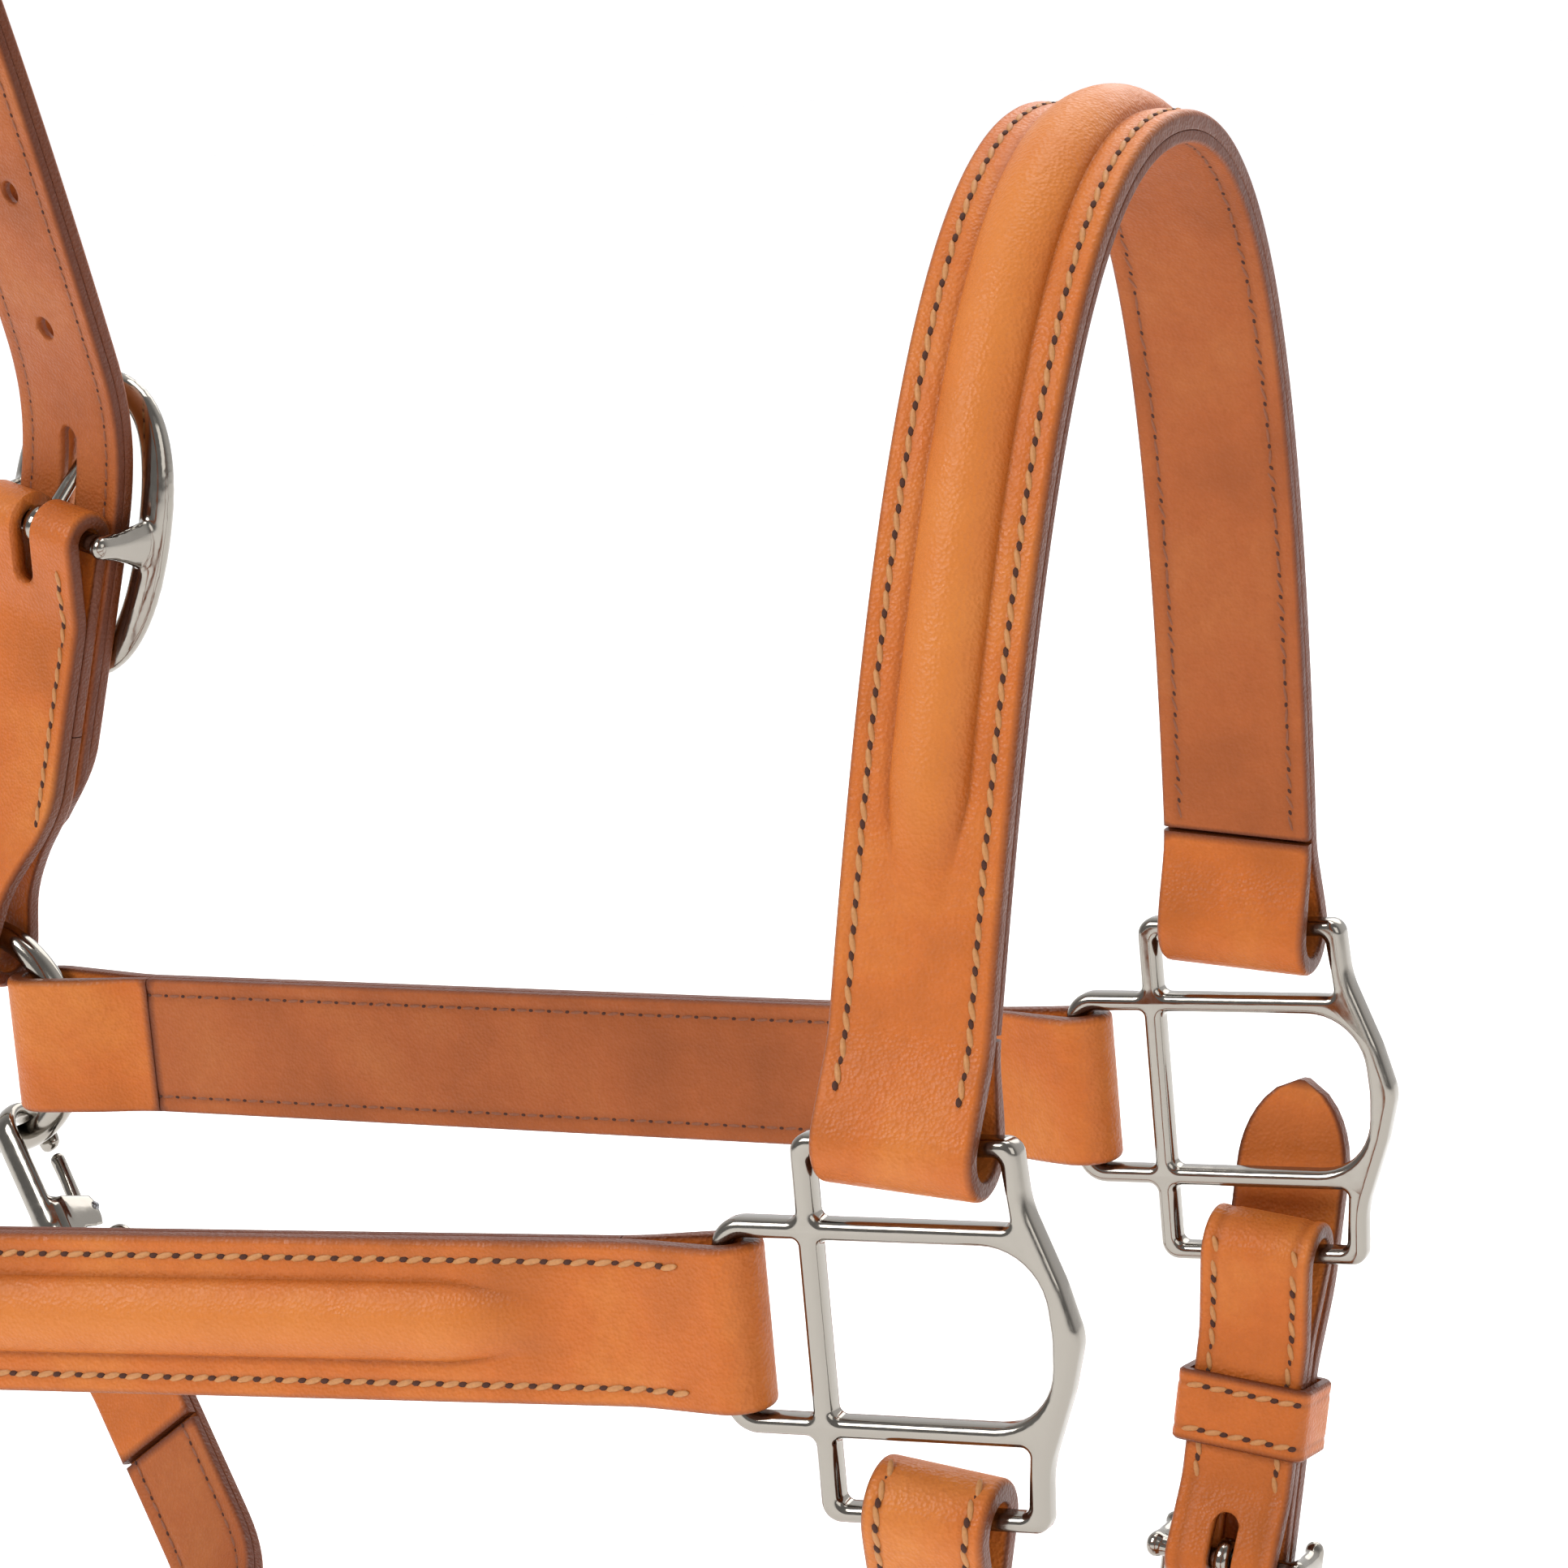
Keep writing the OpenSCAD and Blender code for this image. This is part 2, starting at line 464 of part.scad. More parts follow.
// The spring's coils sit round the pin on both sides of the lever
module snap_spring() color(STEEL) snap_place() for (x = [-2.3, 2.3])
    translate([x, pin_c[0], pin_c[1]]) rotate([0, 90, 0]) rotate_extrude()
        translate([pin_r + 0.2 + coil_r, 0]) circle(coil_r);

// ---------- jaw strap and lead dee, in (forward, up) along the jaw strap ----------
throat_mid_b = [throat_x * cos(ring_yaw) - ring_back + throat_h * sin(throat_lean),
    -ring_r * cos(ring_contact) - throat_h * cos(throat_lean)];
chin_mid_b = [slot_x - (chin_h + chin_t / 2) * sin(chin_lean), -slot_z - (chin_h + chin_t / 2) * cos(chin_lean)];
jaw_v = chin_mid_b - throat_mid_b;
jaw_l = norm(jaw_v);
jaw_a = turn(jaw_v);
jaw_t = 2.6;
edge_a = throat_lean - jaw_a;
e1 = 8.4 * dir(edge_a);
e2 = -e1;
e3 = [jaw_l - 8.3, 0];
e4 = [jaw_l + 8.3, 0];
loop_r = 4.4;
chin_loop_r = 3;
dee_c = [jaw_l - 30, -2.1];
side_12 = loop_r * right(unit(e2 - e1));
jaw_path = concat([[jaw_l / 2, gap], [26, gap]], wrap([26, gap], e1, loop_r, e2 + side_12, 8),
    wrap(e1 + side_12, e2, loop_r, [26, 0], 8), [[26, 0], [jaw_l - 38, 0]],
    wrap([jaw_l - 38, 0], dee_c, 2.3, [jaw_l - 22, 0], 6), [[jaw_l - 22, 0], [jaw_l - 16, 0]],
    wrap([jaw_l - 16, 0], e3, chin_loop_r, [jaw_l, -chin_loop_r], 3),
    wrap([jaw_l, -chin_loop_r], e4, chin_loop_r, [jaw_l, chin_loop_r], 8),
    wrap([jaw_l, chin_loop_r], e3, chin_loop_r, [jaw_l - 16, gap], 3),
    [[jaw_l - 16, gap], [jaw_l / 2 + 0.2, gap]]);
module jaw_place() hang() translate([throat_mid_b[0], 0, throat_mid_b[1]]) rotate([0, -jaw_a, 0]) children();
module jaw_strap() color(TAN) jaw_place() along(slim_w) band(jaw_path, 0, jaw_t);
dee_at = throat_mid_b + dee_c[0] * dir(jaw_a) - dee_c[1] * right(dir(jaw_a));
module lead_dee() color(NICKEL) hang() translate([dee_at[0], 0, dee_at[1]]) {
    rotate([90, 0, 0]) cylinder(h = 28, r = 2, center = true);
    for (s = [-1, 1]) translate([0, s * 14, -9]) cylinder(h = 9, r = 2);
    for (s = [-1, 1]) translate([0, s * 14, 0]) sphere(2);
    translate([0, 0, -9]) rotate([0, 90, 0]) rotate([0, 0, -90]) rotate_extrude(angle = 180)
        translate([14, 0]) circle(2);
}

crown_outer();
crown_lining();
crown_billet();
crown_buckle();
crown_tongue();
ring_left();
ring_right();
cheek_left_outer();
cheek_left_lining();
cheek_left_filler();
cheek_right_outer();
cheek_right_lining();
cheek_right_filler();
square_left();
square_right();
noseband_outer();
noseband_lining();
noseband_filler();
chin_strap();
chin_billet();
chin_buckle();
chin_tongue();
chin_keeper();
jaw_strap();
lead_dee();
throat_outer();
throat_lining();
snap_body();
snap_lever();
snap_pin();
snap_spring();
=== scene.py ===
# %% [markdown]
# # A leather headcollar with a raised noseband
# The headcollar hangs by its crown, as it does on a peg. Its CAD model is the frame: it gives every
# size and every moving body. Each step below turns one piece of that frame into the leather, thread
# or cast metal that it is made of.
#
# Sizes are in millimetres until a mesh is made. +X points to the horse's nose, +Y to its left.

# %% Load the frame
import math
import bmesh
import bpy
import numpy as np
from mathutils import Matrix, Vector


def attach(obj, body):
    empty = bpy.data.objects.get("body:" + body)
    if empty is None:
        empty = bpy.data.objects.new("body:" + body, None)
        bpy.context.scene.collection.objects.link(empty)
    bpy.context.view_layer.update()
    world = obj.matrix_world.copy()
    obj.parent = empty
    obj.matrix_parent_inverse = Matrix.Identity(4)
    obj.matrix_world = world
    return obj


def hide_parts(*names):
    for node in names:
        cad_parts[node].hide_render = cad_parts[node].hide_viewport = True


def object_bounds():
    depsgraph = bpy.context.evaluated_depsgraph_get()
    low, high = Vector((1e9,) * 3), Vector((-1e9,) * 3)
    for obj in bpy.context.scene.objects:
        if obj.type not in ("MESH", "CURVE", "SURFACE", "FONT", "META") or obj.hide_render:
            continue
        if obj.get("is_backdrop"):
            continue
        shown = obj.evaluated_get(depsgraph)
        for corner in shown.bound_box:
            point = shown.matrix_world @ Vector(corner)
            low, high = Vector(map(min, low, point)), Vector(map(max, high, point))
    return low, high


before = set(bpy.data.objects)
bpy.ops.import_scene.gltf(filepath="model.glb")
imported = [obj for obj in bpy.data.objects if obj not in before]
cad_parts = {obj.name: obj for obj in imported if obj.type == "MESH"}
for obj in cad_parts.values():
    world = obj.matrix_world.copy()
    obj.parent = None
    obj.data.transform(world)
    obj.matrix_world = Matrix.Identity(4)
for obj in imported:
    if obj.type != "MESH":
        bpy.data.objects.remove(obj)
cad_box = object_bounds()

print("CAD box:", [[round(v * 1000) for v in corner] for corner in cad_box])

# %% [markdown]
# ## Camera
# A long lens from the horse's right side shows the outer face of the near straps and the inner face
# of the far ones. The camera is built from its three axes, because that fixes its roll exactly.

# %% Camera
SQUARE_MID = Vector((250, 0, -306))     # midway between the two squares
AZIMUTH, ELEVATION, ROLL = (math.radians(a) for a in (26, 10.6, 5.2))

away = Vector((math.sin(AZIMUTH) * math.cos(ELEVATION), -math.cos(AZIMUTH) * math.cos(ELEVATION),
               math.sin(ELEVATION)))
level = Vector((math.cos(AZIMUTH), math.sin(AZIMUTH), 0))
upright = away.cross(level)
cam_right = level * math.cos(ROLL) - upright * math.sin(ROLL)
cam_up = upright * math.cos(ROLL) + level * math.sin(ROLL)
near_square = SQUARE_MID + Vector((0, -68, 0))
eye = near_square + 793 * away - 18.96 * cam_right + 77.9 * cam_up

camera = bpy.data.objects.new("camera", bpy.data.cameras.new("camera"))
cam_turn = Matrix((cam_right, cam_up, away)).transposed()
camera.matrix_world = Matrix.Translation(eye / 1000) @ cam_turn.to_4x4()
camera.data.lens = 127.8
camera.data.sensor_width = 36
camera.data.clip_start = 0.01
bpy.context.scene.collection.objects.link(camera)
bpy.context.scene.camera = camera
print("camera at", [round(v) for v in eye], "mm")

# %% [markdown]
# ## Studio
# The polished metal shows whatever is around it. Large soft panels on a pale world give it long
# clean reflections, and keep the shading of the leather gentle.

# %% Colour and nodes
def colour(hex_code):
    """An sRGB hex colour as the linear values that a shader takes."""
    parts = [int(hex_code[i:i + 2], 16) / 255 for i in (1, 3, 5)]
    return [c / 12.92 if c <= 0.04045 else ((c + 0.055) / 1.055) ** 2.4 for c in parts] + [1]


def add_node(tree, kind, inputs=None, **settings):
    """One node, with its settings, and with its inputs set to values or linked to other outputs."""
    made = tree.nodes.new(kind)
    for name, value in settings.items():
        setattr(made, name, value)
    for key, value in (inputs or {}).items():
        if isinstance(value, bpy.types.NodeSocket):
            tree.links.new(value, made.inputs[key])
        else:
            made.inputs[key].default_value = value
    return made


def new_material(name):
    """An empty node material and its tree."""
    material = bpy.data.materials.new(name)
    material.use_nodes = True
    material.node_tree.nodes.clear()
    return material, material.node_tree


def link_new(name, data):
    """A new object for this data, at the origin of the scene."""
    made = bpy.data.objects.new(name, data)
    bpy.context.scene.collection.objects.link(made)
    return made


def round_angles(count):
    """Evenly spaced angles once round a circle, in radians."""
    return np.linspace(0, 2 * math.pi, count + 1)[:-1]


# %% World, floor and lights
world = bpy.data.worlds.new("pale studio")
bpy.context.scene.world = world
world.use_nodes = True
# The air behind the headcollar is white, and the room on the near side is darker, as in a studio.
sky = world.node_tree
toward = add_node(sky, "ShaderNodeSeparateXYZ", {0: add_node(sky, "ShaderNodeTexCoord").outputs["Generated"]})
bright = add_node(sky, "ShaderNodeMapRange", {"Value": toward.outputs["Y"], "From Min": -0.35,
                  "From Max": 0.55, "To Min": 0.34, "To Max": 1.04}, interpolation_type="SMOOTHSTEP")
backdrop = sky.nodes["Background"]
backdrop.inputs["Color"].default_value = colour("#FDFDFF")
sky.links.new(bright.outputs[0], backdrop.inputs["Strength"])
bpy.context.scene.view_settings.view_transform = "Standard"


HEART = Vector((0.13, 0, -0.22))       # the middle of the headcollar, in metres


def soft_panel(name, place, size, power):
    """A square area light at place, turned to the headcollar."""
    data = bpy.data.lights.new(name, "AREA")
    data.size = size
    data.energy = power
    light = link_new(name, data)
    light.location = Vector(place)
    light.rotation_euler = (HEART - light.location).to_track_quat("-Z", "Y").to_euler()


soft_panel("key", (-0.9, -1.5, 1.1), 0.9, 34)
soft_panel("fill", (1.5, -1.3, 0.5), 1.2, 9)
soft_panel("back", (0.2, 1.7, 1.0), 1.4, 16)
soft_panel("top", (0.2, 0.2, 1.9), 1.2, 24)

floor_mesh = bpy.data.meshes.new("floor")
FLOOR_R = 5
floor_mesh.from_pydata([(FLOOR_R * math.cos(a), FLOOR_R * math.sin(a), cad_box[0][2] - 0.001)
                        for a in round_angles(64)], [], [list(range(64))])
floor = link_new("floor", floor_mesh)
floor_paint, tree = new_material("matt white paper")
floor_shader = add_node(tree, "ShaderNodeBsdfPrincipled", {"Base Color": colour("#FAFAFA"), "Roughness": 0.9,
                        "Emission Color": colour("#FFFFFF"), "Emission Strength": 0.36})
add_node(tree, "ShaderNodeOutputMaterial", {"Surface": floor_shader.outputs[0]})
floor_mesh.materials.append(floor_paint)
floor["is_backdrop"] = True
print("floor at", round(cad_box[0][2] * 1000), "mm")

# %% [markdown]
# ## Leather
# Bridle leather is tanned with bark and dressed with wax. Its face is smooth, with fine pores, faint
# creases and slow changes of tone. The cut edges are stained and burnished, so they are darker and
# shinier. Three attributes, which the strap meshes carry, tell the material where it is on a strap:
# "edge" on the cut sides, "ridge" on the raised roll, which is made lighter, partly in the roll's own
# golden tone and partly as painted highlight, and a third along the stitch grooves and the crease at the
# foot of the roll, where the colour is darkened as painted shade.

# %% Leather materials
def in_mm(tree):
    """The object's own coordinates in millimetres, so that pattern sizes are real sizes."""
    place = add_node(tree, "ShaderNodeTexCoord").outputs["Object"]
    return add_node(tree, "ShaderNodeMapping", {"Vector": place, "Scale": (1000, 1000, 1000)}).outputs[0]


def noise(tree, place, grain, detail, roughness):
    """Noise whose largest features are grain millimetres across."""
    return add_node(tree, "ShaderNodeTexNoise", {"Vector": place, "Scale": 1 / grain, "Detail": detail,
                    "Roughness": roughness}).outputs["Fac"]


def remap(tree, value, start, end, low, high):
    return add_node(tree, "ShaderNodeMapRange", {"Value": value, "From Min": start, "From Max": end,
                    "To Min": low, "To Max": high}).outputs[0]


def blend(tree, factor, a, b):
    return add_node(tree, "ShaderNodeMix", {"Factor": factor, "A": a, "B": b},
                    data_type="RGBA").outputs["Result"]


def maths(tree, operation, a, b):
    return add_node(tree, "ShaderNodeMath", {0: a, 1: b}, operation=operation).outputs[0]


def bumped(tree, height, strength, depth):
    """The shading direction over a pattern of heights, depth millimetres deep."""
    return add_node(tree, "ShaderNodeBump", {"Height": height, "Strength": strength,
                    "Distance": depth / 1000}).outputs[0]


def principled(tree, **inputs):
    """The shader and the output, with underscores in place of the spaces in socket names."""
    shader = add_node(tree, "ShaderNodeBsdfPrincipled", {k.replace("_", " "): v for k, v in inputs.items()})
    add_node(tree, "ShaderNodeOutputMaterial", {"Surface": shader.outputs[0]})


def leather(name, base, light, dark, edge, roughness):
    """Waxed bridle leather, from its mid, light and dark tones and its burnished edge."""
    material, tree = new_material(name)
    mm = in_mm(tree)
    tone = add_node(tree, "ShaderNodeValToRGB", {"Fac": noise(tree, mm, 26, 3, 0.55)})
    tone.color_ramp.elements.new(0.5)
    for stop, place, shade in zip(tone.color_ramp.elements, (0.22, 0.5, 0.78), (dark, base, light)):
        stop.position, stop.color = place, colour(shade)

    def where(attribute, low, high, strength):
        read = add_node(tree, "ShaderNodeAttribute", attribute_name=attribute)
        return remap(tree, read.outputs["Fac"], low, high, 0, strength)

    speckled = blend(tree, remap(tree, noise(tree, mm, 1.6, 4, 0.7), 0.35, 0.7, 0, 0.3), tone.outputs[0],
                     colour(dark))
    # The raised roll is blended towards the light tone: partly the roll's own golden colour, partly a painted
    # highlight on its top.
    rolled = blend(tree, where("ridge", 0.1, 1, 0.6), speckled, colour(light))
    # Painted shade: the stitch grooves and the crease at the foot of the roll are blended towards the dark
    # tone.
    groove_shaded = blend(tree, where("groove_shade", 0.15, 1, 0.75), rolled, colour(dark))
    stained = blend(tree, where("edge", 0.25, 0.95, 0.9), groove_shaded, colour(edge))

    pores = add_node(tree, "ShaderNodeTexVoronoi", {"Vector": mm, "Scale": 1 / 0.6, "Randomness": 1.0})
    creases = noise(tree, mm, 3.2, 6, 0.62)
    height = maths(tree, "ADD", maths(tree, "MULTIPLY", pores.outputs["Distance"], 0.55),
                   maths(tree, "MULTIPLY", creases, 0.5))
    principled(tree, Base_Color=stained, Normal=bumped(tree, height, 0.5, 0.45), IOR=1.5,
               Roughness=remap(tree, creases, 0.3, 0.7, roughness - 0.07, roughness + 0.08),
               Specular_IOR_Level=0.24)
    return material


face_leather = leather("waxed bridle leather", "#B05D22", "#BB7131", "#954E1A", "#4C210E", 0.42)
lining_leather = leather("lining leather", "#974F22", "#A15D2D", "#804118", "#4C210E", 0.5)
print("leathers:", face_leather.name, "and", lining_leather.name)

# %% [markdown]
# ## Metal, thread and felt
# The fittings are cast brass with bright nickel plate, which is a little warmer than chrome. Plate
# that was polished by hand keeps a faint ripple. The thread is waxed linen. A needle hole between two
# stitches is a small pit coloured dark, as painted shade. The filler under the ridge is a strip of
# wool felt.

# %% Metal, thread and felt materials
def plated_metal(name, tint, smooth, rough):
    """Polished plate over a casting, with a faint ripple."""
    material, tree = new_material(name)
    mm = in_mm(tree)
    principled(tree, Base_Color=colour(tint), Metallic=1.0,
               Roughness=remap(tree, noise(tree, mm, 2.2, 4, 0.6), 0.35, 0.7, smooth, rough),
               Normal=bumped(tree, noise(tree, mm, 5, 2, 0.4), 0.15, 0.4))
    return material


def fibre(name, light, dark, grain, roughness, depth):
    """A matt fibre, such as linen thread or felt, with a grain and a depth in mm."""
    material, tree = new_material(name)
    hair = noise(tree, in_mm(tree), grain, 3, 0.6)
    principled(tree, Base_Color=blend(tree, hair, colour(light), colour(dark)), Roughness=roughness,
               Normal=bumped(tree, hair, 0.6, depth))
    return material


# The nickel tint is darker than real nickel plate: painted shade that stands in for the darker room the plate
# reflects.
nickel = plated_metal("nickel-plated brass", "#8F8A82", 0.1, 0.2)
steel = plated_metal("spring steel", "#7E7E80", 0.25, 0.38)
thread = fibre("waxed linen thread", "#B98049", "#8F5C2C", 0.5, 0.55, 0.08)
# The thread on the lining side is given a darker colour than the face thread.
back_thread = fibre("dark back thread", "#8A4E2A", "#5E3019", 0.5, 0.6, 0.08)
hole_shade = fibre("needle hole", "#45200E", "#2E1408", 0.8, 0.9, 0.02)
felt = fibre("wool felt", "#D9CCB0", "#BFAF90", 0.9, 0.95, 0.2)
print("other finishes:", nickel.name, steel.name, thread.name, felt.name, sep=", ")

# %% [markdown]
# ## Plane curves
# A strap lies in one plane for most of its way: it runs straight, turns round a bar and comes back
# on itself. Those turns are arcs that touch their bar, so they are worked out, not drawn by eye.

# %% Plane curves
def unit(v):
    return np.asarray(v, float) / np.linalg.norm(v)


def bearing(degrees):
    return np.array([math.cos(math.radians(degrees)), math.sin(math.radians(degrees))])


def right_of(v):
    return np.array([v[1], -v[0]])


def angle_of(v):
    return math.atan2(v[1], v[0])


def bezier(a, b, c, d, n):
    t = np.linspace(0, 1, n + 1)[:, None]
    a, b, c, d = (np.asarray(p, float) for p in (a, b, c, d))
    return (1 - t) ** 3 * a + 3 * (1 - t) ** 2 * t * b + 3 * (1 - t) * t ** 2 * c + t ** 3 * d


def arc(centre, r, first, bend, n):
    """n steps of a circle of radius r, from the angle first through bend, in radians."""
    angles = first + bend * np.arange(n + 1) / n
    return np.asarray(centre, float) + r * np.stack([np.cos(angles), np.sin(angles)], axis=1)


def wrap(p, c, r, q, n=26):
    """Points round the circle at c, anticlockwise, on the way from p to q."""
    p, c, q = (np.asarray(v, float) for v in (p, c, q))
    a = angle_of(p - c) + math.acos(r / np.linalg.norm(p - c))
    b = angle_of(q - c) - math.acos(r / np.linalg.norm(q - c))
    return arc(c, r, a, (b - a) % (2 * math.pi), n)


def rounded(a, b, c, r, n=14):
    """Points of the arc that rounds the corner b between a and c."""
    a, b, c = (np.asarray(v, float) for v in (a, b, c))
    u, v = unit(b - a), unit(c - b)
    bend = math.atan2(u[0] * v[1] - u[1] * v[0], u @ v)
    side = -right_of(u) * (1 if bend > 0 else -1)
    return arc(b - u * r * math.tan(abs(bend) / 2) + side * r, r, angle_of(-side), bend, n)


def length_of(path):
    return run_along(path)[-1]


def run_along(path):
    """The distance from the start of the path to each of its points."""
    return np.concatenate([[0], np.cumsum(np.linalg.norm(np.diff(path, axis=0), axis=1))])


def mirror(path):
    return np.asarray(path) * [-1, 1]


def chain(*parts):
    """Several points and curves as one path, without doubled points."""
    points = np.vstack([np.atleast_2d(part) for part in parts])
    keep = [0] + [i for i in range(1, len(points)) if np.linalg.norm(points[i] - points[i - 1]) > 1e-6]
    return points[keep]


# %% [markdown]
# ## Strap builder
# A strap is a section carried along its path. The section has a flat back, rounded cut edges, a
# shallow channel where the thread is pulled in, and on some straps the raised roll. Sweeping it in
# code, rather than with a bevelled curve, keeps the width level and lets the roll fade at its ends.

# %% Strap builder
def turned(x=0.0, y=0.0, z=0.0):
    """Rotation by x, then y, then z degrees."""
    return np.array(Matrix.Rotation(math.radians(z), 3, "Z") @ Matrix.Rotation(math.radians(y), 3, "Y")
                    @ Matrix.Rotation(math.radians(x), 3, "X"))


AXES = {"yz": ((0, 1, 0), (0, 0, 1), (1, 0, 0)), "xy": ((1, 0, 0), (0, 1, 0), (0, 0, 1)),
        "xz": ((1, 0, 0), (0, 0, 1), (0, 1, 0))}       # along, up and across for each plane


def finer(path, step):
    """The same path with points no further than step apart."""
    fine = [path[0]]
    for p, q in zip(path[:-1], path[1:]):
        n = max(1, math.ceil(np.linalg.norm((q - p)[:3]) / step))
        fine += [p + (q - p) * i / n for i in range(1, n + 1)]
    return np.array(fine)


def softened(path, times):
    """The path with its corners averaged away this many times."""
    path = path.copy()
    for _ in range(times):
        path[1:-1] = 0.25 * path[:-2] + 0.5 * path[1:-1] + 0.25 * path[2:]
    return path


def unit_rows(v):
    return v / np.linalg.norm(v, axis=1)[:, None]


def lay(path, where, turn, plane, step=2.2, soften=2):
    """Stations of a flat path: places, width directions and outward directions in the row frame."""
    base, across = np.array(AXES[plane][:2]), np.array(AXES[plane][2])
    fine = softened(finer(path, step), soften)
    ahead = unit_rows(np.gradient(fine, axis=0))
    out = np.stack([ahead[:, 1], -ahead[:, 0]], axis=1)
    return {"at": np.asarray(where) + (fine @ base) @ turn.T, "out": (out @ base) @ turn.T,
            "across": np.tile(across @ turn.T, (len(fine), 1)), "run": run_along(fine)}


def ease(s, start, end):
    """0 before start and 1 after end, with a smooth ramp between them."""
    t = np.clip((s - start) / (end - start), 0, 1)
    return t * t * (3 - 2 * t)


def fade(s, start, end, ramp):
    """0 outside start to end, 1 inside, with a smooth ramp at both ends."""
    return ease(np.minimum(s - start, end - s), 0, ramp)


def shortened(way, start, end):
    """The stations whose run lies between start and end."""
    keep = (way["run"] >= start) & (way["run"] <= end)
    kept = {key: value[keep] for key, value in way.items()}
    kept["run"] = kept["run"] - kept["run"][0]
    return kept


GROOVE_DEEP, CREASE_DEEP, RIM_DROP = 0.28, 0.3, 0.12      # how far the face dips at each, in mm


class Leather:
    """One layer of a strap. base and thick are heights over the path, and half is half its width."""

    def __init__(self, way, width, base, thick, half=None, ridge=None, ridge_h=0.0, ridge_w=0.0,
                 channel=False, stitched=None, inset=3.0):
        n = len(way["run"])
        self.way, self.base = way, base
        self.thick = np.broadcast_to(np.asarray(thick, float), n)
        self.half = np.full(n, width / 2) if half is None else half
        self.ridge = np.zeros(n) if ridge is None else ridge
        self.ridge_h, self.ridge_w, self.channel = ridge_h, ridge_w, channel
        self.stitched = np.zeros(n) if stitched is None else stitched
        self.inset = inset

    def roll_half(self, i):
        """Half the width of the raised roll, which is slimmer where the roll is low."""
        return self.ridge_w / 2 * (0.55 + 0.45 * self.ridge[i])

    def roll(self, x, i):
        """Height of the raised roll, from 0 to 1, at x across station i."""
        t = np.clip(np.abs(x) / max(self.roll_half(i), 0.01), 0, 1)
        return ((1 - t ** 2.3) ** 0.62 * 0.8 + (0.5 + 0.5 * np.cos(math.pi * t)) * 0.2) * self.ridge[i]

    def groove(self, x, i):
        """How deep the thread is pulled in, from 0 to 1."""
        return np.exp(-((np.abs(x) - (self.half[i] - self.inset)) / 0.75) ** 2) * self.stitched[i]

    def foot(self, x, i):
        """The crease where the roll meets the flat, from 0 to 1."""
        if not self.ridge_w:
            return 0 * x
        return np.exp(-((np.abs(x) - (self.roll_half(i) + 0.25)) / 0.6) ** 2) * self.ridge[i]

    def spread(self, count):
        """Places across the face from 1 to -1, closer together where the roll meets the flat."""
        even = np.linspace(1, -1, count)[1:-1]
        if self.ridge_w:
            rim = self.ridge_w / 2 / (self.half.max() - 1)
            extra = [side * (rim + d) for side in (1, -1) for d in (-.06, -.03, -.012, .012, .03)]
            even = np.concatenate([even, extra])
        return np.sort(even)[::-1]

    def section(self, i):
        """Points (across, out) of the closed section, with the edge, ridge and seam values of each."""
        half, depth, sign = self.half[i], abs(self.thick[i]), math.copysign(1, self.thick[i])
        r = min(0.36 * depth, 1.1, half * 0.5)
        flat = half - r
        rows = []
        for x in np.linspace(-flat, flat, 13):
            hollow = self.channel and abs(x) < 3.6
            rows.append((x, 0.9 * self.roll(x, i) * min(self.ridge_h, 2.2) if hollow else 0.0, 0.15, 0, 0))
        turn = np.linspace(0, math.pi / 2, 5)
        edge = [(flat + 0.35 * r * math.sin(a) + 0.65 * r, r * 0.35 * (1 - math.cos(a)), 1, 0, 0)
                for a in turn[1:]]
        edge += [(flat + r * math.cos(a), depth - r + r * math.sin(a), 1 - 0.75 * a / (math.pi / 2), 0, 0)
                 for a in turn]
        rows += edge
        for x in flat * self.spread(25):
            roll, groove, foot = self.roll(x, i), self.groove(x, i), self.foot(x, i)
            rim = max(0.0, 1 - (flat - abs(x)) / 0.8) * 0.25
            height = depth + self.ridge_h * roll - GROOVE_DEEP * groove - CREASE_DEEP * foot - RIM_DROP * rim
            # The last value marks the stitch groove and the crease at the roll's foot, which the leather
            # darkens as painted shade.
            rows.append((x, height, rim, roll, max(groove, 0.8 * foot)))
        rows += [(-x, *values) for x, *values in edge[::-1]]
        rows = np.array(rows)
        rows[:, 1] = self.base + sign * rows[:, 1]
        return rows

    def surface(self, x, i, lift=0.0):
        """The point on the visible face at x across station i."""
        sign = math.copysign(1, self.thick[i])
        height = abs(self.thick[i]) + self.ridge_h * self.roll(x, i) - GROOVE_DEEP * self.groove(x, i) + lift
        out = self.way["out"][i] * (self.base + sign * height)
        return self.way["at"][i] + self.way["across"][i] * x + out


def finish_mesh(name, bm, material):
    """An object from a bmesh, with clean outward faces and soft shading."""
    bmesh.ops.remove_doubles(bm, verts=bm.verts, dist=1e-6)
    bmesh.ops.recalc_face_normals(bm, faces=bm.faces)
    mesh = bpy.data.meshes.new(name)
    bm.to_mesh(mesh)
    bm.free()
    mesh.materials.append(material)
    mesh.shade_smooth()
    mesh.set_sharp_from_angle(angle=math.radians(40))
    return link_new(name, mesh)


def skin(bm, rings, closed=False):
    """Faces between neighbouring rings of points, with a cap at each end unless the rings close up."""
    count = len(rings[0])
    for a, b in zip(rings, rings[1:] + rings[:1] if closed else rings[1:]):
        for k in range(count):
            bm.faces.new((a[k], a[(k + 1) % count], b[(k + 1) % count], b[k]))
    if not closed:
        bm.faces.new(rings[0])
        bm.faces.new(rings[-1][::-1])


def marked_bmesh():
    """An empty bmesh with the three attributes that the leather reads."""
    bm = bmesh.new()
    return bm, [bm.verts.layers.float.new(key) for key in ("edge", "ridge", "groove_shade")]


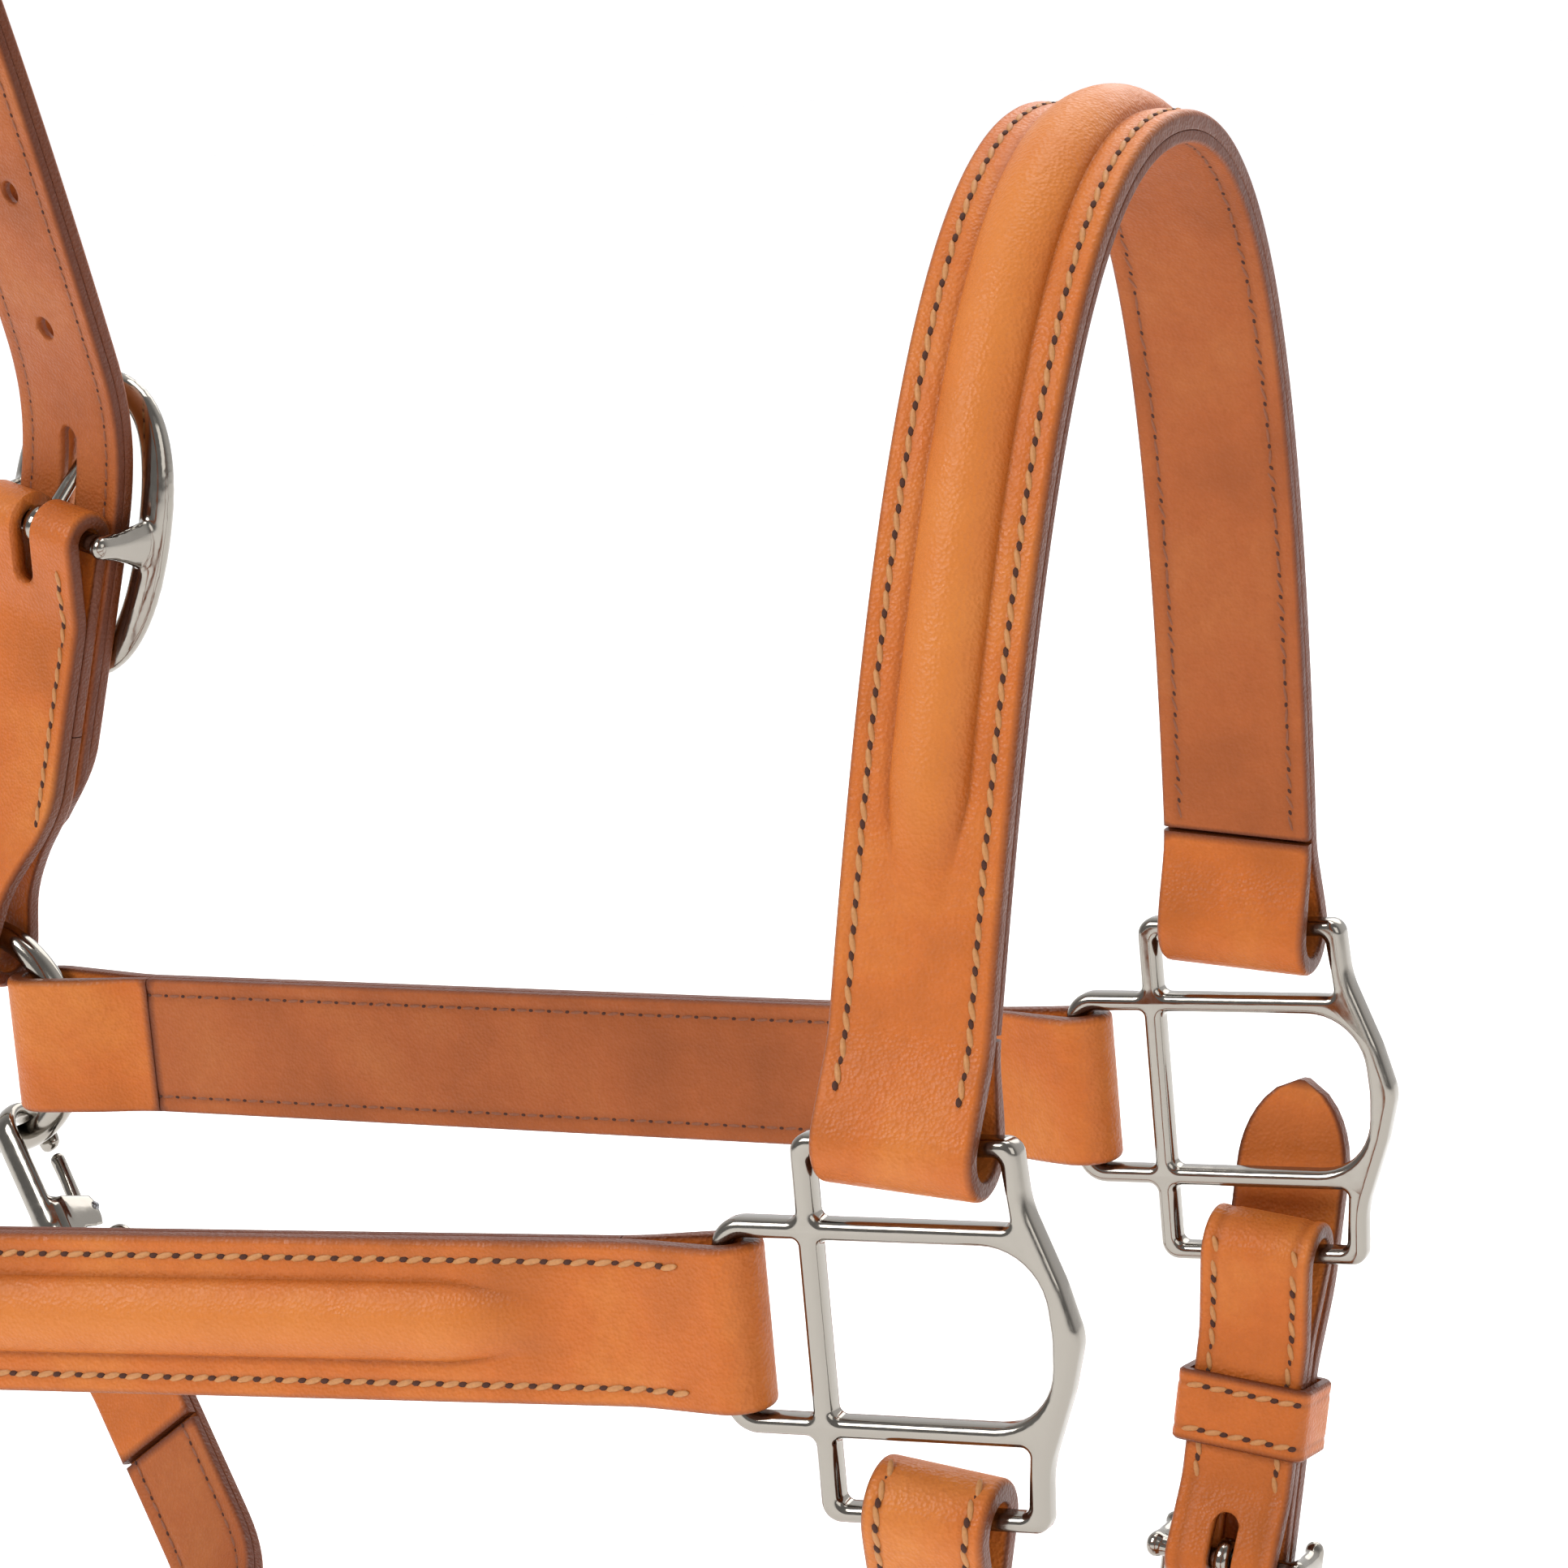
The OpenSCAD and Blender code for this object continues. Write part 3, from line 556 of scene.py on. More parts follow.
def build(name, layer, material):
    """The mesh of one leather layer, with its edge, ridge and seam attributes."""
    bm, marks = marked_bmesh()
    last = len(layer.way["run"]) - 1
    rings = []
    for i in range(last + 1):
        ring = []
        for x, z, *values in layer.section(i):
            at = layer.way["at"][i] + layer.way["across"][i] * x + layer.way["out"][i] * z
            vert = bm.verts.new(at / 1000)
            for mark, value in zip(marks, values):
                vert[mark] = value
            if i in (0, last):
                vert[marks[0]] = 1.0
            ring.append(vert)
        rings.append(ring)
    skin(bm, rings)
    return finish_mesh(name, bm, material)


def put(piece, body, slot, *nodes):
    """Rides the piece on its body and hides the CAD nodes that it stands for. The slot is not used."""
    if nodes:
        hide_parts(*nodes)
    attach(piece, body)
    print(f"{piece.name}: {len(piece.data.polygons)} faces on {body}")


stitch_rows = {}        # rows of thread for each body: (points, outward directions)


def stitch(body, layer, x, start, end, kind="face"):
    """Marks a row of stitches on the layer's face, at x across, from start to end along the run."""
    run = layer.way["run"]
    picks = [i for i in range(len(run)) if start <= run[i] <= end]
    sign = math.copysign(1, layer.thick[0])
    points = [layer.surface(x, i, 0.05) for i in picks]
    ups = [layer.way["out"][i] * sign for i in picks]
    stitch_rows.setdefault((body, kind), []).append((points, ups))


def stitch_pair(body, layer, x, *spans, kind="face"):
    """The same rows of stitches near both edges, one for each (start, end) along the run."""
    for side in (-x, x):
        for start, end in spans:
            stitch(body, layer, side, start, end, kind)


# %% [markdown]
# ## Noseband
# The noseband is two layers of leather. The outer one is rolled up over a felt strip, folded round the
# top bar of each square and sewn down with a row of thread near each edge. On the inside the lining
# stops short of the folds, so the turned-back ends of the outer leather show there.

# %% Noseband path
STRAP_W, SLIM_W, OUTER_T, LINING_T, RIDGE_H, RIDGE_W = 25, 19, 3, 2, 3.2, 12
HALF_W, ARCH_H, MEET, GAP = 68, 137, 14, 0.1
NOSE_OUT = 9

top_bar = np.array([HALF_W, 0.0])
rise = bearing(90 + NOSE_OUT)
nose_half = bezier(top_bar + MEET * rise, top_bar + 92 * rise, (36, ARCH_H), (0, ARCH_H), 60)
nose_curve = chain(nose_half, mirror(nose_half[::-1]))
inner_start = top_bar + MEET * rise - GAP * right_of(rise)
nose_fold = chain(inner_start + 2 * rise, inner_start, wrap(inner_start, top_bar, 4, nose_half[0]))
ON_NOSE = (SQUARE_MID + Vector((1, 0, 27.6)), turned(y=6), "yz")
nose_way = lay(chain(nose_fold, nose_curve, mirror(nose_fold[::-1])), *ON_NOSE)
nose_run = nose_way["run"][-1]
fold_run = length_of(nose_fold)
print("noseband runs", round(nose_run), "mm, each fold", round(fold_run), "mm")

# %% Noseband layers
SEAM_X = 9.5             # from the middle of a wide strap to each row of stitches


def ridged_strap(name, body, ways, rolled, sewn, lining_end, lining_kind):
    """Face, lining and felt of a raised strap. rolled and sewn are (start, end) along the face."""
    face_way, lining_way, felt_way = ways
    run = face_way["run"]
    skived = LINING_T + 0.05 + (OUTER_T - LINING_T - 0.05) * ease(np.minimum(run, run[-1] - run), 3, 14)
    outer = Leather(face_way, STRAP_W, 0, skived, ridge=fade(run, *rolled, 22), ridge_h=RIDGE_H,
                    ridge_w=RIDGE_W, channel=True, stitched=fade(run, *sewn, 2))
    put(build(name + "_face", outer, face_leather), body, "leather", name + "_outer")
    inner = Leather(lining_way, STRAP_W, 0, -LINING_T, stitched=fade(lining_way["run"], 0, lining_end, 2))
    put(build(name + "_lining_layer", inner, lining_leather), body, "lining", name + "_lining")
    felt_strip = Leather(felt_way, 6.6, 0.05, 1.6)
    put(build(name + "_felt", felt_strip, felt), body, "filler", name + "_filler")
    stitch_pair(body, outer, SEAM_X, sewn)
    stitch_pair(body, inner, SEAM_X, (2, lining_way["run"][-1] - 2), kind=lining_kind)


inside_way = lay(nose_curve, *ON_NOSE, step=1)
inside_way = shortened(inside_way, 2.1, inside_way["run"][-1] - 2.1)
ridged_strap("noseband", "nose", (nose_way, inside_way, lay(nose_curve[14:-14], *ON_NOSE)),
             (fold_run + 30, nose_run - fold_run - 30), (fold_run + 7, nose_run - fold_run - 7),
             inside_way["run"][-1], "back")

# %% [markdown]
# ## Cheek straps
# Each cheek is made like the noseband, but it is straight. Its front end is folded round the rear bar
# of a square and its back end round a ring. The right cheek is the left one mirrored, so the
# stations are mirrored and the mesh is swept again, which keeps its faces turned outwards.

# %% Cheek path
RING_BACK, RING_HALF, RING_R, WIRE_R, RING_YAW = 258, 86, 20.5, 2.5, 8
RING_CONTACT = 20
FLIP = np.array([1, -1, 1])             # from the left side of the head to the right


def on_side(way, side):
    """The stations as they are for the left side, or mirrored for the right."""
    flip = 1 if side == "left" else FLIP
    return {key: value if key == "run" else value * flip for key, value in way.items()}


cheek_front = np.array([-29.5, 68.0])
cheek_rear = np.array([-RING_BACK, RING_HALF]) + 16.2 * bearing(-RING_YAW)
along = unit(cheek_rear - cheek_front)
inward = -right_of(along)
near_a, near_b = cheek_front + MEET * along, cheek_rear - 22 * along
front_fold = chain(near_a + 2 * along + GAP * inward, near_a + GAP * inward,
                   wrap(near_a + GAP * inward, cheek_front, 2.9, near_a), near_a)
rear_fold = chain(near_b, wrap(near_b, cheek_rear, 4.2, near_b + GAP * inward), near_b + GAP * inward,
                  near_b - 2 * along + GAP * inward)
front_run, rear_run = length_of(front_fold), length_of(rear_fold)
ON_CHEEK = (SQUARE_MID, turned(), "xy")
cheek_ways = [lay(path, *ON_CHEEK) for path in (
    chain(front_fold, rear_fold), chain(near_a + 2.2 * along, near_b - 2.2 * along),
    chain(near_a + 30 * along, near_b - 24 * along))]
cheek_run = cheek_ways[0]["run"][-1]
print("cheek runs", round(cheek_run), "mm")

# %% Cheek layers
PAST_LINING = 400        # longer than the lining, so its groove runs on to the end
for side in ("left", "right"):
    body = "cheek_" + side
    ridged_strap(body, body, [on_side(way, side) for way in cheek_ways],
                 (front_run + 10, cheek_run - rear_run - 14), (front_run - 8, cheek_run - rear_run + 6),
                 PAST_LINING, "fine")

# %% [markdown]
# ## Crown
# The crown goes over the horse's poll, behind the ears. Its left end is a long tail with holes, which
# passes through the buckle, and its right end is folded round the right ring. It twists a little on
# its way, so it is laid in space: each station has its own width direction.

# %% Crown path
HEAD_TURN = turned(x=-6, y=14, z=-14)
POLL = np.array([8 - RING_BACK, 0, 308.0])
BAR_H, RING_FOLD_R, HEAD_FOLD_C, RING_MEET = 99, 4.2, 18.3, 22
HEAD_HALF = RING_HALF - HEAD_FOLD_C * math.sin(math.radians(6))


def head_point(out, up):
    """A point in the plane of the left ring, leaned as the head's side leans."""
    return np.array([-RING_BACK, HEAD_HALF, 0]) + HEAD_TURN @ [0, out, up]


def lay_in_space(points, widths):
    """Stations of a path through space, with a width direction at each point."""
    both = finer(np.hstack([np.array(points, float), np.array(widths, float)]), 2.2)
    fine = softened(both[:, :3], 3)
    ahead = unit_rows(np.gradient(fine, axis=0))
    out = unit_rows(np.cross(ahead, both[:, 3:]))
    return {"at": fine + np.array(SQUARE_MID), "out": out, "across": np.cross(out, ahead),
            "run": run_along(fine)}


def ring_height(way, side):
    """How far each station is above the ring's centre, measured along the head's side."""
    return (way["at"] - np.array(SQUARE_MID) - [-RING_BACK, side * HEAD_HALF, 0]) @ (
        HEAD_TURN[:, 2] * [1, side, 1])


TAIL_B = 5.1
low = [head_point(b, BAR_H + h) for b, h in ((TAIL_B, 40 - BAR_H), (TAIL_B, -34), (TAIL_B, -14),
                                             (TAIL_B, 2), (4.6, 9), (3.4, 16), (1.2, 23), (-2.1, 30))]
arc_start = head_point(-6.3, BAR_H + 37)
heading = unit(arc_start - low[-1])
side_w = HEAD_TURN[:, 0]
ARC_STEPS = 60
left_arc = bezier(arc_start, arc_start + 80 * heading, POLL + [0, 52, 0], POLL, ARC_STEPS)
right_start = head_point(-9, BAR_H + 37) * FLIP
right_arc = bezier(POLL, POLL - [0, 52, 0], right_start + 80 * heading * FLIP, right_start, ARC_STEPS)
ring_c = np.array([0, HEAD_FOLD_C])
meet_at = np.array([0, HEAD_FOLD_C + RING_MEET])
right_fold = chain(meet_at, wrap(meet_at - [GAP, 0], ring_c, RING_FOLD_R, meet_at)[::-1], meet_at - [GAP, 0],
                   meet_at + [-GAP, 14])
right_side = [head_point(b, BAR_H + h) * FLIP
              for b, h in ((-5, 30), (-2.4, 23), (-0.9, 16), (-0.2, 9), (0, 0), (0, -20), (0, -39))]
right_side += [head_point(*p) * FLIP for p in right_fold]
blend_in = [ease(k / ARC_STEPS, 0, 1) for k in range(ARC_STEPS + 1)]
crown_points = low + list(left_arc) + list(right_arc[1:]) + right_side
level_w = np.array([1, 0, 0])
crown_widths = ([side_w] * len(low) + [side_w * (1 - t) + level_w * t for t in blend_in]
                + [level_w * (1 - t) + side_w * FLIP * t for t in blend_in[1:]]
                + [side_w * FLIP] * len(right_side))
crown_way = lay_in_space(crown_points, crown_widths)
crown_run = crown_way["run"][-1]
print("crown runs", round(crown_run), "mm")

# %% Crown layers
def pointed(run, tip, width):
    """Half widths that come to a rounded point over the first tip millimetres."""
    t = np.clip(run / tip, 0, 1)
    return width / 2 * np.maximum(np.sqrt(1 - (1 - t) ** 2) ** 1.15, 0.06)


def narrowed(way, side, half, width, low_h=26, high_h=52):
    """Half widths that narrow towards a ring."""
    return half + (width / 2 - half) * ease(ring_height(way, side), low_h, high_h)


run = crown_way["run"]
tail_fold = run[-1] - length_of(right_fold) - 20
crown_half = np.minimum(pointed(run, 13, STRAP_W), narrowed(crown_way, -1, 5, STRAP_W))
crown_outer = Leather(crown_way, STRAP_W, 0, 2.6, half=crown_half, stitched=fade(run, 16, tail_fold, 3))
crown_face = build("crown_face", crown_outer, face_leather)
inner_way = shortened(crown_way, 0.8, tail_fold)
crown_inner = Leather(inner_way, STRAP_W, 0, -LINING_T, half=pointed(inner_way["run"] + 0.6, 13, STRAP_W),
                      stitched=fade(inner_way["run"], 14, tail_fold - 4, 3))
crown_under = build("crown_lining_layer", crown_inner, lining_leather)
stitch_pair("root", crown_outer, SEAM_X, (16, tail_fold - 3))
stitch_pair("root", crown_inner, SEAM_X, (15, tail_fold - 5), kind="fine")

# %% [markdown]
# ## Holes and slits
# Holes are punched and slits are cut, so each is a real opening. The cutters are thin solids in the
# plane of the strap, and a Boolean takes them away from every layer at once.

# %% Punch
HEAD_PLACE = Matrix.Translation(SQUARE_MID + Vector((-RING_BACK, HEAD_HALF, 0))) @ Matrix(HEAD_TURN).to_4x4()


def cutter(place, out, up, radius, deep, slot=0.0):
    """A punch along the strap's outward direction, or with a slot height, a slit cutter."""
    bm = bmesh.new()
    count = 28
    loops = []
    for y in (out - deep / 2, out + deep / 2):
        loop = []
        for k in range(count):
            a = 2 * math.pi * k / count
            stretch = math.copysign(slot / 2, math.sin(a)) if abs(math.sin(a)) > 1e-9 else 0.0
            corner = Vector((radius * math.cos(a), y, up + radius * math.sin(a) + stretch))
            loop.append(bm.verts.new(place @ corner / 1000))
        loops.append(loop)
    for k in range(count):
        bm.faces.new((loops[0][k], loops[0][(k + 1) % count], loops[1][(k + 1) % count], loops[1][k]))
    bm.faces.new(loops[0][::-1])
    bm.faces.new(loops[1])
    return bm


def join_bms(parts):
    """Several meshes as one, which may overlap."""
    mesh = bpy.data.meshes.new("cutters")
    whole = bmesh.new()
    for part in parts:
        part.to_mesh(mesh)
        whole.from_mesh(mesh)
        part.free()
    bpy.data.meshes.remove(mesh)
    return whole


def punch(piece, parts):
    """Takes the cutters away from the piece. The cutters carry the dark needle-hole finish, painted shade for
    the walls of each hole.
    """
    tool = finish_mesh("punch", join_bms(parts), hole_shade)
    modifier = piece.modifiers.new("punch", "BOOLEAN")
    modifier.operation, modifier.solver, modifier.object = "DIFFERENCE", "EXACT", tool
    settle(piece)
    bpy.data.objects.remove(tool)


def settle(piece):
    """Replaces the piece's mesh by what its modifiers make of it."""
    seen = bpy.context.evaluated_depsgraph_get()
    seen.update()
    old = piece.data
    piece.data = bpy.data.meshes.new_from_object(piece.evaluated_get(seen))
    piece.data.name = old.name
    piece.modifiers.clear()
    bpy.data.meshes.remove(old)


HOLE_PITCH = 25
hole_heights = [BAR_H + 12 + HOLE_PITCH * i for i in (-1, 1, 2, 3)]
for layer in (crown_face, crown_under):
    punches = [cutter(HEAD_PLACE, 0, h, 2.1, 60) for h in hole_heights]
    punches.append(cutter(HEAD_PLACE, 6, BAR_H + 9.5, 2.1, 16, slot=13.5))
    punch(layer, punches)
put(crown_face, "root", "leather", "crown_outer")
put(crown_under, "root", "lining", "crown_lining")

# %% [markdown]
# ## Crown billet
# A short doubled strap hangs between the left ring and the crown buckle. It is one piece of leather,
# folded round the ring at the bottom and round the buckle's bar at the top, with a slit for the tongue.

# %% Crown billet
FLUSH_R = 2.6
bar_c = np.array([-FLUSH_R, BAR_H])
top_back = np.array([-GAP, BAR_H - 16])
billet_path = chain((0, 62), wrap((0, BAR_H - 1), bar_c, FLUSH_R, top_back), top_back, meet_at - [GAP, 0],
                    wrap(meet_at - [GAP, 0], ring_c, RING_FOLD_R, meet_at), meet_at, (0, 61.8))
left_ring_c = np.array(SQUARE_MID) + [-RING_BACK, HEAD_HALF, 0]
billet_way = lay(billet_path, left_ring_c, HEAD_TURN, "yz", soften=1)
heights = ring_height(billet_way, 1)
billet = Leather(billet_way, STRAP_W, 0, OUTER_T, half=narrowed(billet_way, 1, 5, STRAP_W),
                 stitched=fade(heights, 44, BAR_H - 12, 3))
billet_face = build("crown_billet_strap", billet, face_leather)
punch(billet_face, [cutter(HEAD_PLACE, 0, BAR_H, 2.6, 30, slot=16)])
put(billet_face, "root", "leather", "crown_billet")
run = billet_way["run"]
turn_top = run[np.argmax(heights)]
turn_low = run[np.argmin(heights)]
stitch_pair("root", billet, 9.3, (turn_top + 10, turn_low - 34), (4, turn_top - 18),
            (turn_low + 32, run[-1] - 2))

# %% [markdown]
# ## Chin strap
# The chin strap is a single thick layer. Its near end is folded round the right square's lower bar. Its
# far end runs up through the buckle and the keeper to a point, beside a doubled billet that holds the
# buckle on the left square.

# %% Chin paths
CHIN_H, CHIN_IN, CHIN_T, THIN_T, HEEL_G, CHIN_J, CHIN_LEAN = 104, 7, 3.4, 2.6, 52, 72, 9
CHIN_TURN = turned(y=CHIN_LEAN)
CHIN_PLACE = SQUARE_MID + Vector((1, 0, -27.6))
chin_c = np.array([HALF_W, 0.0])
chin_down = bearing(-90 - CHIN_IN)
chin_out = -right_of(chin_down)


def chin_at(g, b):
    """A point g below the left square's lower bar and b outside the chin strap's middle."""
    return chin_c + g * chin_down + b * chin_out


chin_low = bezier((0, -CHIN_H), (32, -CHIN_H), chin_at(CHIN_J + 20, 0), chin_at(CHIN_J, 0), 40)
chin_tail = [chin_at(64, 1.6), chin_at(58, THIN_T + GAP), chin_at(MEET + 4, THIN_T + GAP),
             chin_at(5, 4 + THIN_T + 0.3), chin_at(-6, 4 + THIN_T + 0.3), chin_at(-28, 7.4)]
near_fold = mirror(chain(chin_at(36, -GAP), chin_at(MEET, -GAP),
                         wrap(chin_at(MEET, 0), chin_c, 4, chin_at(MEET, -GAP))[::-1], chin_at(MEET, 0)))
ON_CHIN = (CHIN_PLACE, CHIN_TURN, "yz")
chin_way = lay(chain(near_fold, mirror(chin_low[:0:-1]), chin_low, chin_tail), *ON_CHIN, soften=3)
run = chin_way["run"]
near_run = length_of(near_fold)
SLIM_INSET, SLIM_SEAM_X = 2.6, 6.9      # the stitching of a slim strap, from its edge and its middle
chin_strap = Leather(chin_way, SLIM_W, 0, CHIN_T, half=pointed(run[-1] - run, 15, SLIM_W),
                     stitched=fade(run, near_run - 20, run[-1] - 6, 3), inset=SLIM_INSET)
chin_piece = build("chin_strap_leather", chin_strap, face_leather)
LEG_PLACE = (Matrix.Translation(CHIN_PLACE) @ Matrix(CHIN_TURN).to_4x4()
             @ Matrix.Translation((0, HALF_W, 0)) @ Matrix.Rotation(math.radians(-CHIN_IN), 4, "X"))
CHIN_HOLE_PITCH = 18
punches = [cutter(LEG_PLACE, 4, -HEEL_G - 8 + CHIN_HOLE_PITCH * i, 1.7, 20) for i in (1, 2, 3)]
punches.append(cutter(LEG_PLACE, 4, -HEEL_G - 8, 1.7, 20, slot=10.5))
punch(chin_piece, punches)
put(chin_piece, "nose", "leather", "chin_strap")
stitch_pair("nose", chin_strap, SLIM_SEAM_X, (near_run - 20, run[-1] - 66), (run[-1] - 52, run[-1] - 10))

# %% Chin billet and keeper
HEEL_R, HEEL_FOLD = 1.8, 2.1            # the buckle's bar, and the fold round it
heel_c = chin_at(HEEL_G, -HEEL_FOLD)
low_in = chin_at(HEEL_G - 12, -GAP)
top_out, top_in = chin_at(MEET, 0), chin_at(MEET, -GAP)
chin_billet_path = chain(chin_at(32, -GAP), low_in, wrap(low_in, heel_c, HEEL_FOLD, chin_at(HEEL_G - 1, 0)),
                         top_out, wrap(top_out, chin_c, 4, top_in), top_in, chin_at(31.8, -GAP))
chin_billet_way = lay(chin_billet_path, *ON_CHIN, soften=1)
run = chin_billet_way["run"]
chin_billet = Leather(chin_billet_way, SLIM_W, 0, THIN_T, stitched=fade(run, 3, run[-1] - 3, 3),
                      inset=SLIM_INSET)
chin_billet_piece = build("chin_billet_strap", chin_billet, face_leather)
punch(chin_billet_piece, [cutter(LEG_PLACE, -2, -HEEL_G, 2.4, 26, slot=12)])
put(chin_billet_piece, "nose", "leather", "chin_billet")
inner_top = length_of(chain(chin_at(32, -GAP), low_in)) - 2
stitch_pair("nose", chin_billet, SLIM_SEAM_X, (run[-1] - 33, run[-1] - 2), (1, inner_top + 1))


def band_loop(name, place, half_x, half_y, mid_y, z0, z1, thick, radius):
    """A keeper: a closed leather band, z0 to z1 high, with a rounded rectangle as its plan."""
    bm, (mark, _, groove_shade) = marked_bmesh()
    plan = []
    for sx, sy, first in ((1, 1, 0), (-1, 1, 90), (-1, -1, 180), (1, -1, 270)):
        centre = np.array([sx * (half_x - radius), sy * (half_y - radius)])
        plan += [(centre + bearing(a) * radius, bearing(a)) for a in np.linspace(first, first + 90, 7)]
    dense = []
    for (p, n), (q, m) in zip(plan, plan[1:] + plan[:1]):
        count = max(1, math.ceil(np.linalg.norm(q - p) / 1.6))
        dense += [(p + (q - p) * k / count, unit(n + (m - n) * k / count)) for k in range(count)]
    r, seam_in, seam_deep = 0.45, 2.3, -0.12
    middle = (z0 + z1) / 2
    section = [(-thick + r * 0.3, z0, 1), (-thick, z0 + r, .6), (-thick, middle, .1), (-thick, z1 - r, .6),
               (-thick + r * 0.3, z1, 1), (-r, z1, 1), (0, z1 - r, .7), (0, z1 - 1.6, 0),
               (seam_deep, z1 - seam_in, 0), (0, z1 - 3, 0), (0, middle, 0), (0, z0 + 3, 0),
               (seam_deep, z0 + seam_in, 0), (0, z0 + 1.6, 0), (0, z0 + r, .7), (-r, z0, 1)]
    rings = []
    for p, n in dense:
        ring = []
        for out, z, value in section:
            q = p + n * out
            vert = bm.verts.new(place @ Vector((q[0], mid_y + q[1], z)) / 1000)
            vert[mark] = value
            # The keeper's stitch grooves are marked for the leather's painted shade.
            vert[groove_shade] = 1.0 if out == seam_deep else 0.0
            ring.append(vert)
        rings.append(ring)
    skin(bm, rings, closed=True)
    for z in (z0 + seam_in, z1 - seam_in):
        for sign in (1, -1):
            row = [(p, n) for p, n in dense if p[1] * sign > half_y - 0.2 and abs(p[0]) < half_x - radius]
            row.sort(key=lambda item: item[0][0])
            points = [np.array(place @ Vector((p[0] - n[0] * 0.07, mid_y + p[1] - n[1] * 0.07, z)))
                      for p, n in row]
            ups = [np.array(place.to_3x3() @ Vector((*n, 0))) for _, n in row]
            stitch_rows.setdefault(("chin_keeper", "face"), []).append((points, ups))
    return finish_mesh(name, bm, face_leather)


keeper = band_loop("chin_keeper_band", LEG_PLACE, 11.6, 6.7, 1.8, -33, -21, 1.8, 2)
put(keeper, "chin_keeper", "leather", "chin_keeper")

# %% [markdown]
# ## Throat strap
# The throat strap is thin and slim, with a lining. It is folded on the right ring for good, and its
# left end carries the snap, so that it opens there. Its fold is narrow, because it sits in the curve
# of the ring.

# %% Throat strap
THROAT_H, THROAT_IN, THROAT_T, THROAT_LEAN = 96, 18, 2.4, 35
throat_x = RING_R * math.sin(math.radians(RING_CONTACT))
THROAT_TURN = turned(y=-THROAT_LEAN)
THROAT_PLACE = SQUARE_MID + Vector((throat_x * math.cos(math.radians(RING_YAW)) - RING_BACK, 0,
                                    -RING_R * math.cos(math.radians(RING_CONTACT))))
wire = np.array([RING_HALF - throat_x * math.sin(math.radians(RING_YAW)), 0.0])
throat_down = bearing(-90 - THROAT_IN)
throat_out = -right_of(throat_down)
eye_c = wire + 38 * throat_down
left_corner = np.array([wire[0] - THROAT_H * math.tan(math.radians(THROAT_IN)), -THROAT_H])
right_wire, right_corner = wire * [-1, 1], left_corner * [-1, 1]
right_down = unit(right_corner - right_wire)
right_meet = right_wire + RING_MEET * right_down
right_inner = right_meet + GAP * np.array([-right_down[1], right_down[0]])
left_meet = eye_c + 12 * throat_down
left_inner = left_meet - GAP * throat_out
throat_mid = chain(right_meet + 16 * right_down, rounded(right_meet, right_corner, left_corner, 20),
                   rounded(right_corner, left_corner, left_meet, 20), left_meet + 16 * throat_down)
ON_THROAT = (THROAT_PLACE, THROAT_TURN, "yz")
throat_path = chain(right_inner + 15 * right_down, right_inner,
                    wrap(right_inner, right_wire, 5.2, right_meet), right_meet, throat_mid, left_meet,
                    wrap(left_meet, eye_c, 2.4, left_inner), left_inner, left_inner + 15 * throat_down)
throat_way = lay(throat_path, *ON_THROAT)
run = throat_way["run"]
depth = -(throat_way["at"] - np.array(THROAT_PLACE)) @ THROAT_TURN[:, 2]
on_right = throat_way["at"][:, 1] < 0
throat_half = np.where(on_right, 5 + (SLIM_W / 2 - 5) * ease(depth, 8, 34), SLIM_W / 2)
throat = Leather(throat_way, SLIM_W, 0, THROAT_T, half=throat_half,
                 stitched=fade(run, 78, run[-1] - 44, 3), inset=2.8)
put(build("throat_face", throat, face_leather), "root", "leather", "throat_outer")
throat_lining_way = lay(throat_mid, *ON_THROAT)
throat_lining = Leather(throat_lining_way, SLIM_W, 0, -LINING_T,
                        stitched=fade(throat_lining_way["run"], 0, PAST_LINING, 3), inset=2.8)
put(build("throat_lining_layer", throat_lining, lining_leather), "root", "lining", "throat_lining")
first_full = run[np.argmax((depth > 33) & (run > 50))]
stitch_pair("root", throat, 6.7, (first_full, run[-1] - 34))
stitch_pair("root", throat_lining, 6.7, (2, throat_lining_way["run"][-1] - 2), kind="fine")
print("throat strap runs", round(run[-1]), "mm")

# %% [markdown]
# ## Jaw strap
# The jaw strap joins the throat strap to the chin strap. Both of its ends are loops, so that each
# strap can slide through, and a third loop near the front holds the lead dee.

# %% Jaw strap
JAW_T = 2.6
throat_low = np.array([THROAT_PLACE.x - SQUARE_MID.x + THROAT_H * math.sin(math.radians(THROAT_LEAN)),
                       THROAT_PLACE.z - SQUARE_MID.z - THROAT_H * math.cos(math.radians(THROAT_LEAN))])
chin_mid = np.array([1 - (CHIN_H + CHIN_T / 2) * math.sin(math.radians(CHIN_LEAN)),
                     -27.6 - (CHIN_H + CHIN_T / 2) * math.cos(math.radians(CHIN_LEAN))])
jaw_l = np.linalg.norm(chin_mid - throat_low)
jaw_a = math.degrees(angle_of(chin_mid - throat_low))
e1 = 8.4 * bearing(THROAT_LEAN - jaw_a)
e2 = -e1
e3, e4 = np.array([jaw_l - 8.3, 0]), np.array([jaw_l + 8.3, 0])
side_12 = 4.4 * right_of(unit(e2 - e1))
dee_c = np.array([jaw_l - 30, -2.1])
first_loops = chain(wrap((26, GAP), e1, 4.4, e2 + side_12, 12), wrap(e1 + side_12, e2, 4.4, (26, 0), 12))
